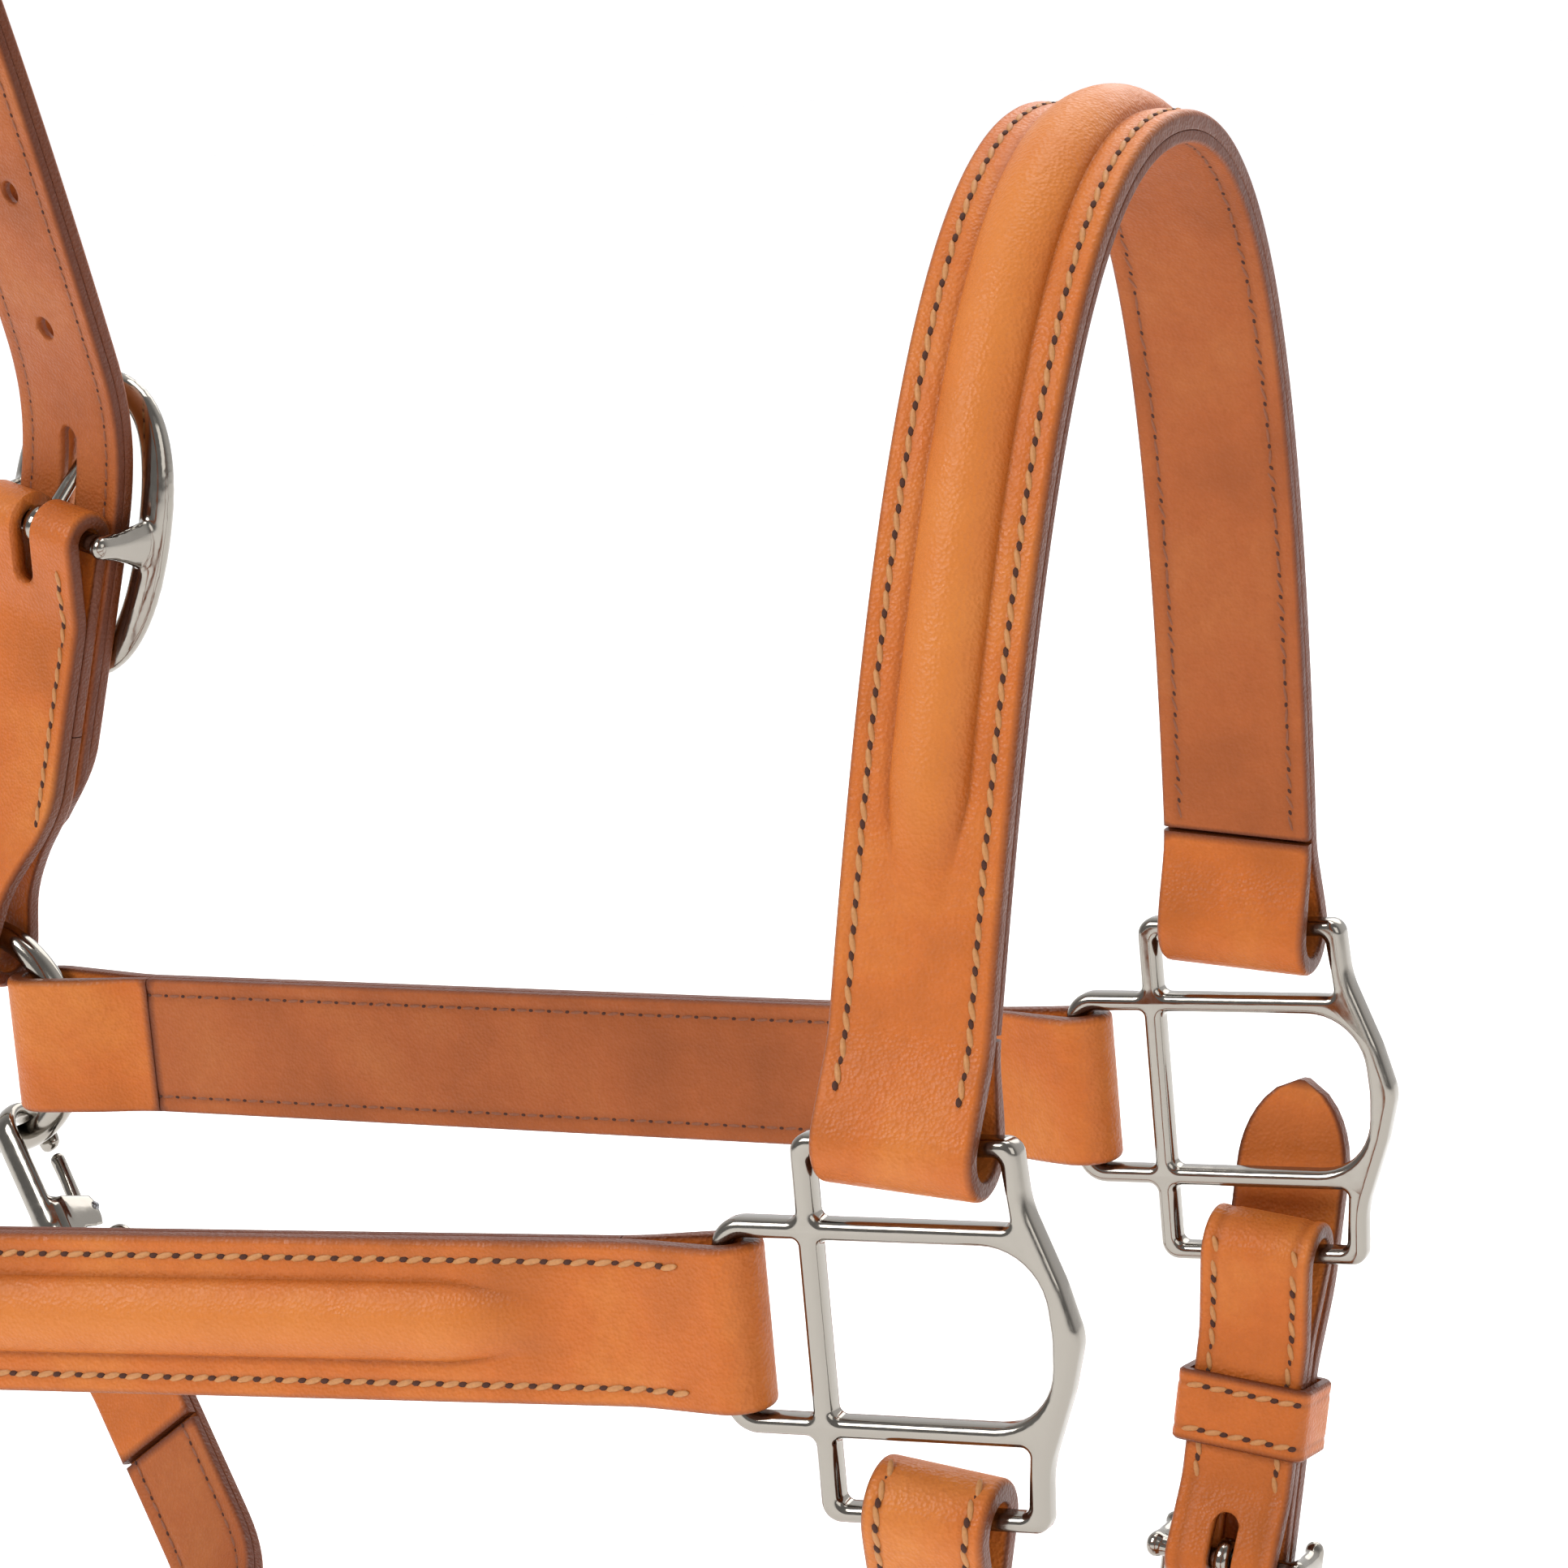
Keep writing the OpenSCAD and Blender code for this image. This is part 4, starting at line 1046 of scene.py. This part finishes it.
jaw_path = chain((jaw_l / 2, GAP), (26, GAP), first_loops, (26, 0), (jaw_l - 38, 0),
                 wrap((jaw_l - 38, 0), dee_c, 2.3, (jaw_l - 22, 0), 10), (jaw_l - 22, 0), (jaw_l - 16, 0),
                 wrap((jaw_l - 16, 0), e3, 3, (jaw_l, -3), 5), wrap((jaw_l, -3), e4, 3, (jaw_l, 3), 14),
                 wrap((jaw_l, 3), e3, 3, (jaw_l - 16, GAP), 5), (jaw_l - 16, GAP), (jaw_l / 2 + 0.2, GAP))
JAW_TURN = turned(y=-jaw_a)
jaw_place = np.array(SQUARE_MID) + [throat_low[0], 0, throat_low[1]]
jaw_way = lay(jaw_path, jaw_place, JAW_TURN, "xz", step=1.8, soften=1)
run = jaw_way["run"]
jaw = Leather(jaw_way, SLIM_W, 0, JAW_T, stitched=np.ones(len(run)), inset=SLIM_INSET)
put(build("jaw_strap_leather", jaw, face_leather), "nose", "leather", "jaw_strap")
flat_from = length_of(chain((jaw_l / 2, GAP), (26, GAP)))
start = flat_from + length_of(first_loops)
stitch_pair("nose", jaw, SLIM_SEAM_X, (2, flat_from - 3), (run[-1] - (jaw_l / 2 - 20), run[-1] - 2),
            (start + 10, start + jaw_l - 70))
print("jaw strap loops", round(jaw_l), "mm apart")

# %% [markdown]
# ## Rings
# Each ring is a plain ring of drawn wire, brazed and plated. Its shape follows a rule, so Geometry
# Nodes sweep a round wire along a circle. The modifier is then turned into a plain mesh.

# %% Ring tree
def new_tree(name, inputs):
    """A Geometry Nodes tree with named inputs, and the sockets that give them."""
    tree = bpy.data.node_groups.new(name, "GeometryNodeTree")
    tree.interface.new_socket("Geometry", in_out="INPUT", socket_type="NodeSocketGeometry")
    for label, kind in inputs:
        tree.interface.new_socket(label, in_out="INPUT", socket_type="NodeSocket" + kind)
    tree.interface.new_socket("Geometry", in_out="OUTPUT", socket_type="NodeSocketGeometry")
    return tree, add_node(tree, "NodeGroupInput").outputs


def grow(name, tree, values, mesh=None):
    """Runs a Geometry Nodes tree with these input values, and returns the plain mesh object."""
    piece = link_new(name, mesh or bpy.data.meshes.new(name))
    modifier = piece.modifiers.new(name, "NODES")
    modifier.node_group = tree
    for item in tree.interface.items_tree:
        if item.in_out == "INPUT" and item.name in values:
            modifier[item.identifier] = values[item.name]
    settle(piece)
    return piece


ring_tree, given = new_tree("wire ring", [("Radius", "Float"), ("Wire", "Float"), ("Finish", "Material")])
circle = add_node(ring_tree, "GeometryNodeCurvePrimitiveCircle",
                  {"Resolution": 96, "Radius": given["Radius"]})
wire_end = add_node(ring_tree, "GeometryNodeCurvePrimitiveCircle",
                    {"Resolution": 24, "Radius": given["Wire"]})
swept = add_node(ring_tree, "GeometryNodeCurveToMesh", {"Curve": circle.outputs["Curve"],
                 "Profile Curve": wire_end.outputs["Curve"]})
soft = add_node(ring_tree, "GeometryNodeSetShadeSmooth", {0: swept.outputs["Mesh"]})
coated = add_node(ring_tree, "GeometryNodeSetMaterial", {"Geometry": soft.outputs[0],
                  "Material": given["Finish"]})
add_node(ring_tree, "NodeGroupOutput", {"Geometry": coated.outputs[0]})

# %% Both rings
def place_mesh(piece, matrix):
    """Moves the mesh itself, so that its object stays at the origin."""
    piece.data.transform(matrix)
    bm = bmesh.new()
    bm.from_mesh(piece.data)
    bmesh.ops.remove_doubles(bm, verts=bm.verts, dist=1e-7)
    bmesh.ops.recalc_face_normals(bm, faces=bm.faces)
    bm.to_mesh(piece.data)
    bm.free()


for side, sign in (("left", 1), ("right", -1)):
    ring = grow(f"ring_{side}_wire", ring_tree,
                {"Radius": RING_R / 1000, "Wire": WIRE_R / 1000, "Finish": nickel})
    centre = (SQUARE_MID + Vector((-RING_BACK, sign * RING_HALF, 0))) / 1000
    place_mesh(ring, Matrix.Translation(centre) @ Matrix.Rotation(math.radians(-sign * RING_YAW), 4, "Z")
               @ Matrix.Rotation(math.radians(90), 4, "X"))
    put(ring, f"ring_{side}", "nickel", f"ring_{side}")

# %% [markdown]
# ## Cast fittings
# The squares, buckles and the snap are cast, so their bars flow into each other with small fillets.
# Each bar is first a separate tube of changing thickness. A voxel remesh then welds the tubes, and a
# little smoothing gives the softened corners of a polished casting.

# %% Casting
def tube(bm, points, sizes, flat, closed, sides=14):
    """A tube along points in mm. Each size is (in-plane half width, half width along flat)."""
    points = [Vector(p) for p in points]
    flat = Vector(flat).normalized()
    count = len(points)
    if len(sizes) == 1:
        sizes = list(sizes) * count
    ahead = []
    for i in range(count):
        before = points[(i - 1) % count] if closed or i else points[0]
        after = points[(i + 1) % count] if closed or i < count - 1 else points[-1]
        ahead.append((after - before).normalized())

    def round_end(i, sign):
        """Stations that taper the end at point i to a rounded tip."""
        return [(points[i] + ahead[i] * sign * min(sizes[i]) * math.sin(a), ahead[i],
                 [v * max(math.cos(a), 0.12) for v in sizes[i]]) for a in (0.45, 0.9, 1.3, 1.5)]

    stations = list(zip(points, ahead, sizes))
    if not closed:
        stations = round_end(0, -1)[::-1] + stations + round_end(-1, 1)
    rings = []
    for at, way, size in stations:
        side = way.cross(flat).normalized()
        rings.append([bm.verts.new(at + side * size[0] * math.cos(a) + flat * size[1] * math.sin(a))
                      for a in round_angles(sides)])
    skin(bm, rings, closed)


def cast(name, bars, place, voxel=0.5, passes=5, material=nickel):
    """One casting from bars of (points, sizes, flat direction, closed), put in place."""
    bm = bmesh.new()
    for points, sizes, flat, closed in bars:
        tube(bm, points, sizes, flat, closed)
    bmesh.ops.recalc_face_normals(bm, faces=bm.faces)
    mesh = bpy.data.meshes.new(name)
    bm.to_mesh(mesh)
    bm.free()
    mesh.materials.append(material)
    piece = link_new(name, mesh)
    weld = piece.modifiers.new("weld", "REMESH")
    weld.mode = "VOXEL"
    weld.voxel_size = voxel
    relax = piece.modifiers.new("relax", "SMOOTH")
    relax.factor = 0.5
    relax.iterations = passes
    settle(piece)
    piece.data.materials.clear()
    piece.data.materials.append(material)
    piece.data.transform(Matrix.Scale(0.001, 4) @ place)
    if place.determinant() < 0:
        piece.data.flip_normals()
    piece.data.shade_smooth()
    return piece


def along_curve(points, n):
    """n points evenly spaced along the smooth curve through these points."""
    points = np.array(points, float)
    gaps = run_along(points)
    slopes = np.gradient(points, gaps, axis=0)
    result = []
    for v in np.linspace(0, gaps[-1], n):
        i = min(np.searchsorted(gaps, v, side="right") - 1, len(gaps) - 2)
        h = gaps[i + 1] - gaps[i]
        u = (v - gaps[i]) / h
        result.append((2 * u ** 3 - 3 * u ** 2 + 1) * points[i] + (u ** 3 - 2 * u ** 2 + u) * h * slopes[i]
                      + (-2 * u ** 3 + 3 * u ** 2) * points[i + 1] + (u ** 3 - u ** 2) * h * slopes[i + 1])
    return result


# %% [markdown]
# ## Squares
# A square is one casting with a D-shaped opening and three slots. Its front limb swells to a blunt
# point at the middle, and its bars are about 3 mm wide and 4.5 mm deep, with rounded faces.

# %% Squares
def plate(name, outlines, depth, bevel, place):
    """A flat casting from closed outlines in mm (across, up), with rounded faces, put in place."""
    shape = bpy.data.curves.new(name, "CURVE")
    shape.dimensions, shape.fill_mode = "2D", "BOTH"
    shape.extrude, shape.bevel_depth = depth / 2 - bevel, bevel
    shape.offset, shape.bevel_resolution = -bevel, 4
    for corners in outlines:
        points = []
        for k, (x, z, r) in enumerate(corners):
            (x0, z0, _), (x1, z1, _) = corners[k - 1], corners[(k + 1) % len(corners)]
            points += list(rounded((x0, z0), (x, z), (x1, z1), r, 10))
        spline = shape.splines.new("POLY")
        spline.points.add(len(points) - 1)
        spline.use_cyclic_u = True
        for point, (x, z) in zip(spline.points, points):
            point.co = (x, z, 0, 1)
    holder = link_new(name + "_outline", shape)
    seen = holder.evaluated_get(bpy.context.evaluated_depsgraph_get())
    mesh = bpy.data.meshes.new_from_object(seen)
    bpy.data.objects.remove(holder)
    piece = link_new(name, mesh)
    mesh.materials.clear()
    mesh.materials.append(nickel)
    place_mesh(piece, Matrix.Scale(0.001, 4) @ place @ Matrix.Rotation(math.radians(90), 4, "X"))
    mesh.shade_smooth()
    mesh.set_sharp_from_angle(angle=math.radians(50))
    return piece


# Each corner is (forward, up, radius).
rim = [(-17, 29, 3), (18.6, 29, 2.5), (19.2, 19.5, 16), (23.6, 8, 18), (25.8, 0, 7), (23.6, -8, 18),
       (19.2, -19.5, 16), (18.6, -29, 2.5), (-17, -29, 3),
       (-17, -16.2, 1.5), (-31, -16.2, 5), (-31, 16.2, 5), (-17, 16.2, 1.5)]
dee_opening = [(-13.8, 13.2, 1.2), (20.4, 13.2, 9.5), (21.3, 0, 20), (20.4, -13.2, 9.5), (-13.8, -13.2, 1.2)]
rear_slot = [(-28, 13.2, 2.4), (-17, 13.2, 1), (-17, -13.2, 1), (-28, -13.2, 2.4)]
end_slots = [[(-13.8, s * 26.2, 1.2), (15.5, s * 26.2, 1.4), (16.5, s * 16.3, 1.2), (-13.8, s * 16.3, 1.2)]
             for s in (1, -1)]
for side, sign in (("left", 1), ("right", -1)):
    piece = plate(f"square_{side}_casting", [rim, dee_opening, rear_slot, *end_slots], 4.4, 1.35,
                  Matrix.Translation(SQUARE_MID + Vector((0, sign * HALF_W, 0))))
    put(piece, "nose", "nickel", f"square_{side}")

# %% [markdown]
# ## Buckles
# The crown buckle has a long oval frame, swollen at the sides, which stands clear of the strap on two
# lugs from its bar. The chin buckle is a small one with an open top, so that the strap can pass. A
# tongue is a drop of wire bent round the bar.

# %% Crown buckle
FACE, SIDE_ON = (0, 1, 0), (1, 0, 0)    # the directions in which a bar can be flat


def cosine_power(a, power):
    """The cosine of a, raised to a power, with its sign kept."""
    return math.copysign(abs(math.cos(a)) ** power, math.cos(a))


def sine_power(a, power):
    """The sine of a, raised to a power, with its sign kept."""
    return math.copysign(abs(math.sin(a)) ** power, math.sin(a))


def circle_points(x, y, z, r, angles):
    """Points round a circle that faces across, at x."""
    return [(x, y + r * math.cos(a), z + r * math.sin(a)) for a in angles]


def fit(name, bars, place, body, node, slot="nickel", **how):
    """Casts the bars, and puts the casting on its body in place of its CAD node."""
    put(cast(name, bars, place, **how), body, slot, node)


def lugs(x, heights, sizes):
    """A lug on each side, from the bar up to the frame."""
    return [([(s * x, y, 0) for y in heights], sizes, SIDE_ON, False) for s in (-1, 1)]


oval = [(16.2 * cosine_power(a, 0.72), 9.9, 26 * sine_power(a, 0.9)) for a in round_angles(72)]
oval_sizes = [(2.8 + 0.8 * abs(math.cos(a)) ** 2, 1.9 + 0.7 * abs(math.cos(a)) ** 2)
              for a in round_angles(72)]
buckle_bars = [(oval, oval_sizes, FACE, True),
               ([(-15.5, -2.6, 0), (15.5, -2.6, 0)], [(2.0, 2.0)], FACE, False)]
buckle_bars += lugs(16, (-3.2, 0, 3, 6, 9.5), [(2.3, 2.0), (2.6, 2.0), (3.3, 2.0), (4.2, 2.1), (5.4, 2.2)])
BAR_PLACE = HEAD_PLACE @ Matrix.Translation((0, 0, BAR_H))
fit("crown_buckle_casting", buckle_bars, BAR_PLACE, "root", "crown_buckle", passes=3)


def tongue_bars(bar_y, bar_r, out, z1, z2, half):
    """A tongue from its eye round the bar to its tip on the frame."""
    eye_ring = circle_points(0, bar_y, 0, bar_r + 0.95, round_angles(24))
    shank = along_curve([(0, bar_y + 2.2, 2.2), (0, bar_y + out * 0.55, z1 * 0.52),
                         (0, bar_y + out * 0.97, z1 * 0.93), (0, bar_y + out * 1.055, z1 * 1.06),
                         (0, bar_y + out * 1.05, z2 - 1)], 16)
    sizes = [(1.15 - 0.3 * k / 15, half - 0.35 * k / 15) for k in range(16)]
    return [(eye_ring, [(0.85, half)], SIDE_ON, True), (shank, sizes, SIDE_ON, False)]


fit("crown_tongue_pin", tongue_bars(-2.6, 2.05, 14.35, 21, 27.5, 1.65), BAR_PLACE, "crown_tongue",
    "crown_tongue", voxel=0.35)

# %% Chin buckle
HEEL_PLACE = LEG_PLACE @ Matrix.Translation((0, -HEEL_FOLD, -HEEL_G))
frame_y = HEEL_FOLD + 4.6 + 1.5
u_path = [(-12.4, frame_y, 2.4), (-12.4, frame_y, -8), (-12.4, frame_y, -16.2)]
u_path += [(-9.6 + 2.8 * math.cos(a), frame_y, -16.4 + 2.8 * math.sin(a))
           for a in np.linspace(math.pi, 1.5 * math.pi, 7)]
u_path += [(-x, y, z) for x, y, z in u_path[::-1]]
chin_bars = [(u_path, [(1.7, 1.5)], FACE, False),
             ([(-11.5, 0, 0), (11.5, 0, 0)], [(HEEL_R, HEEL_R)], FACE, False)]
chin_bars += lugs(12.4, (-0.4, 3, 6, frame_y), [(2.2, 1.7), (2.2, 1.7), (2.6, 1.7), (3.0, 1.7)])
fit("chin_buckle_casting", chin_bars, HEEL_PLACE, "nose", "chin_buckle", voxel=0.4)
HANGING = HEEL_PLACE @ Matrix.Scale(-1, 4, (0, 0, 1))
fit("chin_tongue_pin", tongue_bars(0, 1.85, 9.85, 15.5, 20, 1.35), HANGING, "chin_tongue", "chin_tongue",
    voxel=0.3)

# %% [markdown]
# ## Snap and lead dee
# The snap is a hook with a sprung lever over its mouth. Its lower end is a frame that the throat strap
# is folded through. The lead dee is bent from round wire, and its straight side lies in the jaw strap.

# %% Snap
SNAP_PLACE = (Matrix.Translation(THROAT_PLACE) @ Matrix(THROAT_TURN).to_4x4()
              @ Matrix.Translation((0, wire[0], 0)) @ Matrix.Rotation(math.radians(-THROAT_IN), 4, "X"))
HOOK_MID = 5.3           # from the ring's wire to the middle of the hook's bar
PIN_Y, PIN_Z = 4.3, -18.0
hook = [(0, -HOOK_MID, z) for z in (-20, -14, -8, -3)]
hook += circle_points(0, 0, 0, HOOK_MID, np.linspace(math.pi, 0, 17)) + [(0, HOOK_MID, -1.8)]
hook_sizes = [(1.4, 2.9)] * 4 + [(1.4, 2.8)] * 14 + [(1.35, 2.5)] * 3 + [(1.3, 2.3)]
snap_bars = [(hook, hook_sizes, SIDE_ON, False),
             ([(0, -3.6, -23.8), (0, -3.6, -17)], [(2.9, 4.3)], SIDE_ON, False),
             ([(0, -3.5, -23.6), (0, 4.9, -23.6)], [(1.25, 4.3)], SIDE_ON, False),
             ([(0, 0, -23), (0, 0, -28)], [(2.5, 2.5)], SIDE_ON, False)]
for s in (-1, 1):
    snap_bars.append(([(s * 3.85, -3, -19), (s * 3.85, 4.6, -18.6)], [(3.9, 0.72), (3.4, 0.72)], SIDE_ON,
                      False))
eye_loop = []
for cx, cz, first in ((9.5, -29, 90), (9.5, -36, 0), (-9.5, -36, -90), (-9.5, -29, -180)):
    eye_loop += [(cx + 2 * math.cos(math.radians(a)), 0, cz + 2 * math.sin(math.radians(a)))
                 for a in np.linspace(first, first - 90, 6)]
snap_bars.append((eye_loop, [(1.5, 1.6)], FACE, True))
fit("snap_hook", snap_bars, SNAP_PLACE, "root", "snap_body", voxel=0.4, passes=4)

lever = [(0, PIN_Y + 0.2, PIN_Z), (0, 5.2, PIN_Z + 4), (0, 5.35, -9), (0, 5.35, -6.5), (0, 5.3, -5.2)]
lever_bars = [(lever, [(1.5, 1.55), (1.2, 1.5), (1.1, 1.5), (1.15, 1.55), (1.2, 1.6)], SIDE_ON, False),
              ([(0, PIN_Y - 0.3, PIN_Z), (0, PIN_Y + 0.3, PIN_Z)], [(1.9, 1.5)], SIDE_ON, False)]
fit("snap_lever_arm", lever_bars, SNAP_PLACE, "snap_lever", "snap_lever", voxel=0.3, passes=3)

pin_bars = [([(-4.1, PIN_Y, PIN_Z), (4.1, PIN_Y, PIN_Z)], [(1.07, 1.07)], FACE, False)]
coil_bars = [(circle_points(x, PIN_Y, PIN_Z, 1.75, round_angles(24)), [(0.45, 0.45)], SIDE_ON, True)
             for x in (-2.3, 2.3)]
for name, bars, node, voxel in (("snap_rivet", pin_bars, "snap_pin", 0.25),
                                ("snap_coils", coil_bars, "snap_spring", 0.2)):
    fit(name, bars, SNAP_PLACE, "root", node, slot="steel", voxel=voxel, passes=1, material=steel)

# %% Lead dee
dee_2d = throat_low + dee_c[0] * bearing(jaw_a) - dee_c[1] * right_of(bearing(jaw_a))
DEE_PLACE = Matrix.Translation(SQUARE_MID + Vector((dee_2d[0], 0, dee_2d[1])))
BEND_Y, BEND_R, BOW_R = 11.8, 2.2, 14
dee_corner = [(0, BEND_Y + BEND_R * math.sin(a), BEND_R * math.cos(a) - BEND_R)
              for a in np.linspace(0.3, math.pi / 2, 5)] + [(0, BOW_R, z) for z in (-5, -7)]
dee_path = [(0, y, 0) for y in np.linspace(-BEND_Y, BEND_Y, 9)] + dee_corner
dee_path += circle_points(0, 0, -9, BOW_R, -np.linspace(0, math.pi, 33))
dee_path += [(x, -y, z) for x, y, z in dee_corner[::-1]]
fit("lead_dee_wire", [(dee_path, [(2.0, 2.0)], SIDE_ON, True)], DEE_PLACE, "lead_dee", "lead_dee",
    voxel=0.45, passes=2)

# %% [markdown]
# ## Stitching
# A saddler sews these straps by hand or with a lockstitch, at about seven stitches to the inch. Each
# stitch is a short plump bead of waxed thread, laid at a slight slant, with a needle hole at each end,
# shown as a dark pit of painted shade. Geometry Nodes put one bead at every step of the marked rows.
# The stitches on the lining side are smaller, because the thread is pulled up tight there, and darker.

# %% Stitch tree
stitch_tree, given = new_tree("stitches", [
    *((label, "Float") for label in ("Pitch", "Length", "Width", "Height", "Slant", "Sway", "Hole")),
    ("Seed", "Int"), ("Thread", "Material"), ("Pit", "Material")])


def step(kind, inputs=None, **settings):
    """The first output of one more node of the stitch tree."""
    return add_node(stitch_tree, kind, inputs, **settings).outputs[0]


line = step("GeometryNodeMeshToCurve", {"Mesh": given["Geometry"]})
spaced = step("GeometryNodeResampleCurve", {"Curve": line, "Length": given["Pitch"]}, mode="LENGTH")
tangent = step("GeometryNodeInputTangent")
up = step("GeometryNodeInputNamedAttribute", {"Name": "up"}, data_type="FLOAT_VECTOR")
facing = step("FunctionNodeAxesToRotation", {"Primary Axis": tangent, "Secondary Axis": up},
              primary_axis="X", secondary_axis="Z")
lean_from = maths(stitch_tree, "SUBTRACT", given["Slant"], given["Sway"])
lean_to = maths(stitch_tree, "ADD", given["Slant"], given["Sway"])
slant = add_node(stitch_tree, "FunctionNodeRandomValue", {"Seed": given["Seed"]}, data_type="FLOAT")
for key, value in (("Min", lean_from), ("Max", lean_to)):
    socket = next(i for i in slant.inputs if i.name == key and i.type == "VALUE")
    stitch_tree.links.new(value, socket)
slant_value = next(o for o in slant.outputs if o.type == "VALUE")
slanted = step("FunctionNodeRotateRotation", {"Rotation": facing, "Rotate By": step(
               "ShaderNodeCombineXYZ", {"Z": slant_value})}, rotation_space="LOCAL")


def ball(rings, size):
    """A small ball, stretched to a size that a node gives."""
    sphere = step("GeometryNodeMeshUVSphere", {"Segments": 8, "Rings": rings, "Radius": 0.5})
    return step("GeometryNodeTransform", {"Geometry": sphere, "Scale": size})


def laid(points, shape, finish):
    """The shape at each point, turned along the row, as real geometry in its finish."""
    placed = step("GeometryNodeInstanceOnPoints", {"Points": points, "Instance": shape, "Rotation": slanted})
    real = step("GeometryNodeRealizeInstances", {0: placed})
    return step("GeometryNodeSetMaterial", {"Geometry": real, "Material": finish})


bead_size = step("ShaderNodeCombineXYZ", {"X": given["Length"], "Y": given["Width"], "Z": given["Height"]})
hole_size = step("ShaderNodeCombineXYZ", {axis: given["Hole"] for axis in "XYZ"})
bead = ball(6, bead_size)
# The pit is a flattened ball in the dark needle-hole finish, painted shade for the hole between stitches.
pit = step("GeometryNodeTransform", {"Geometry": ball(4, hole_size), "Scale": (1.45, 0.9, 0.4)})
half_step = maths(stitch_tree, "MULTIPLY", given["Pitch"], 0.5)
shift = step("ShaderNodeVectorMath", {0: tangent, "Scale": half_step}, operation="SCALE")
moved = step("GeometryNodeSetPosition", {"Geometry": spaced, "Offset": shift})
both = add_node(stitch_tree, "GeometryNodeJoinGeometry")
for part in (laid(moved, pit, given["Pit"]), laid(spaced, bead, given["Thread"])):
    stitch_tree.links.new(part, both.inputs[0])
smoothed = step("GeometryNodeSetShadeSmooth", {0: both.outputs[0]})
add_node(stitch_tree, "NodeGroupOutput", {"Geometry": smoothed})

# %% Sew
# Sizes in mm: pitch, length, width and height of a bead, its slant and sway in degrees, and the hole.
KINDS = {"face": (3.7, 3.35, 1.05, 0.75, 15, 4, 1.08, thread),
         "fine": (3.7, 2.5, 0.6, 0.35, 4, 6, 0.7, back_thread),
         "back": (3.7, 3.0, 0.5, 0.35, 14, 22, 0.7, back_thread)}
for number, ((body, kind), rows) in enumerate(sorted(stitch_rows.items())):
    verts, edges, ups = [], [], []
    for points, directions in rows:
        first = len(verts)
        verts += [tuple(p / 1000) for p in points]
        ups += [tuple(d) for d in directions]
        edges += [(i, i + 1) for i in range(first, len(verts) - 1)]
    mesh = bpy.data.meshes.new("rows")
    mesh.from_pydata(verts, edges, [])
    mark = mesh.attributes.new("up", "FLOAT_VECTOR", "POINT")
    mark.data.foreach_set("vector", np.array(ups, np.float32).ravel())
    pitch, length, width, height, lean, sway, hole, yarn = KINDS[kind]
    sewn = grow(f"stitches_{kind}_{body}", stitch_tree, {
        "Pitch": pitch / 1000, "Length": length / 1000, "Width": width / 1000, "Height": height / 1000,
        "Slant": math.radians(lean), "Sway": math.radians(sway), "Hole": hole / 1000, "Seed": number,
        "Thread": yarn, "Pit": hole_shade}, mesh)
    put(sewn, body, None)

# %% Finish
visual_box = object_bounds()
for label, corners in (("CAD", cad_box), ("visual", visual_box)):
    print(label, "size in mm:", [round((b - a) * 1000, 1) for a, b in zip(*corners)])
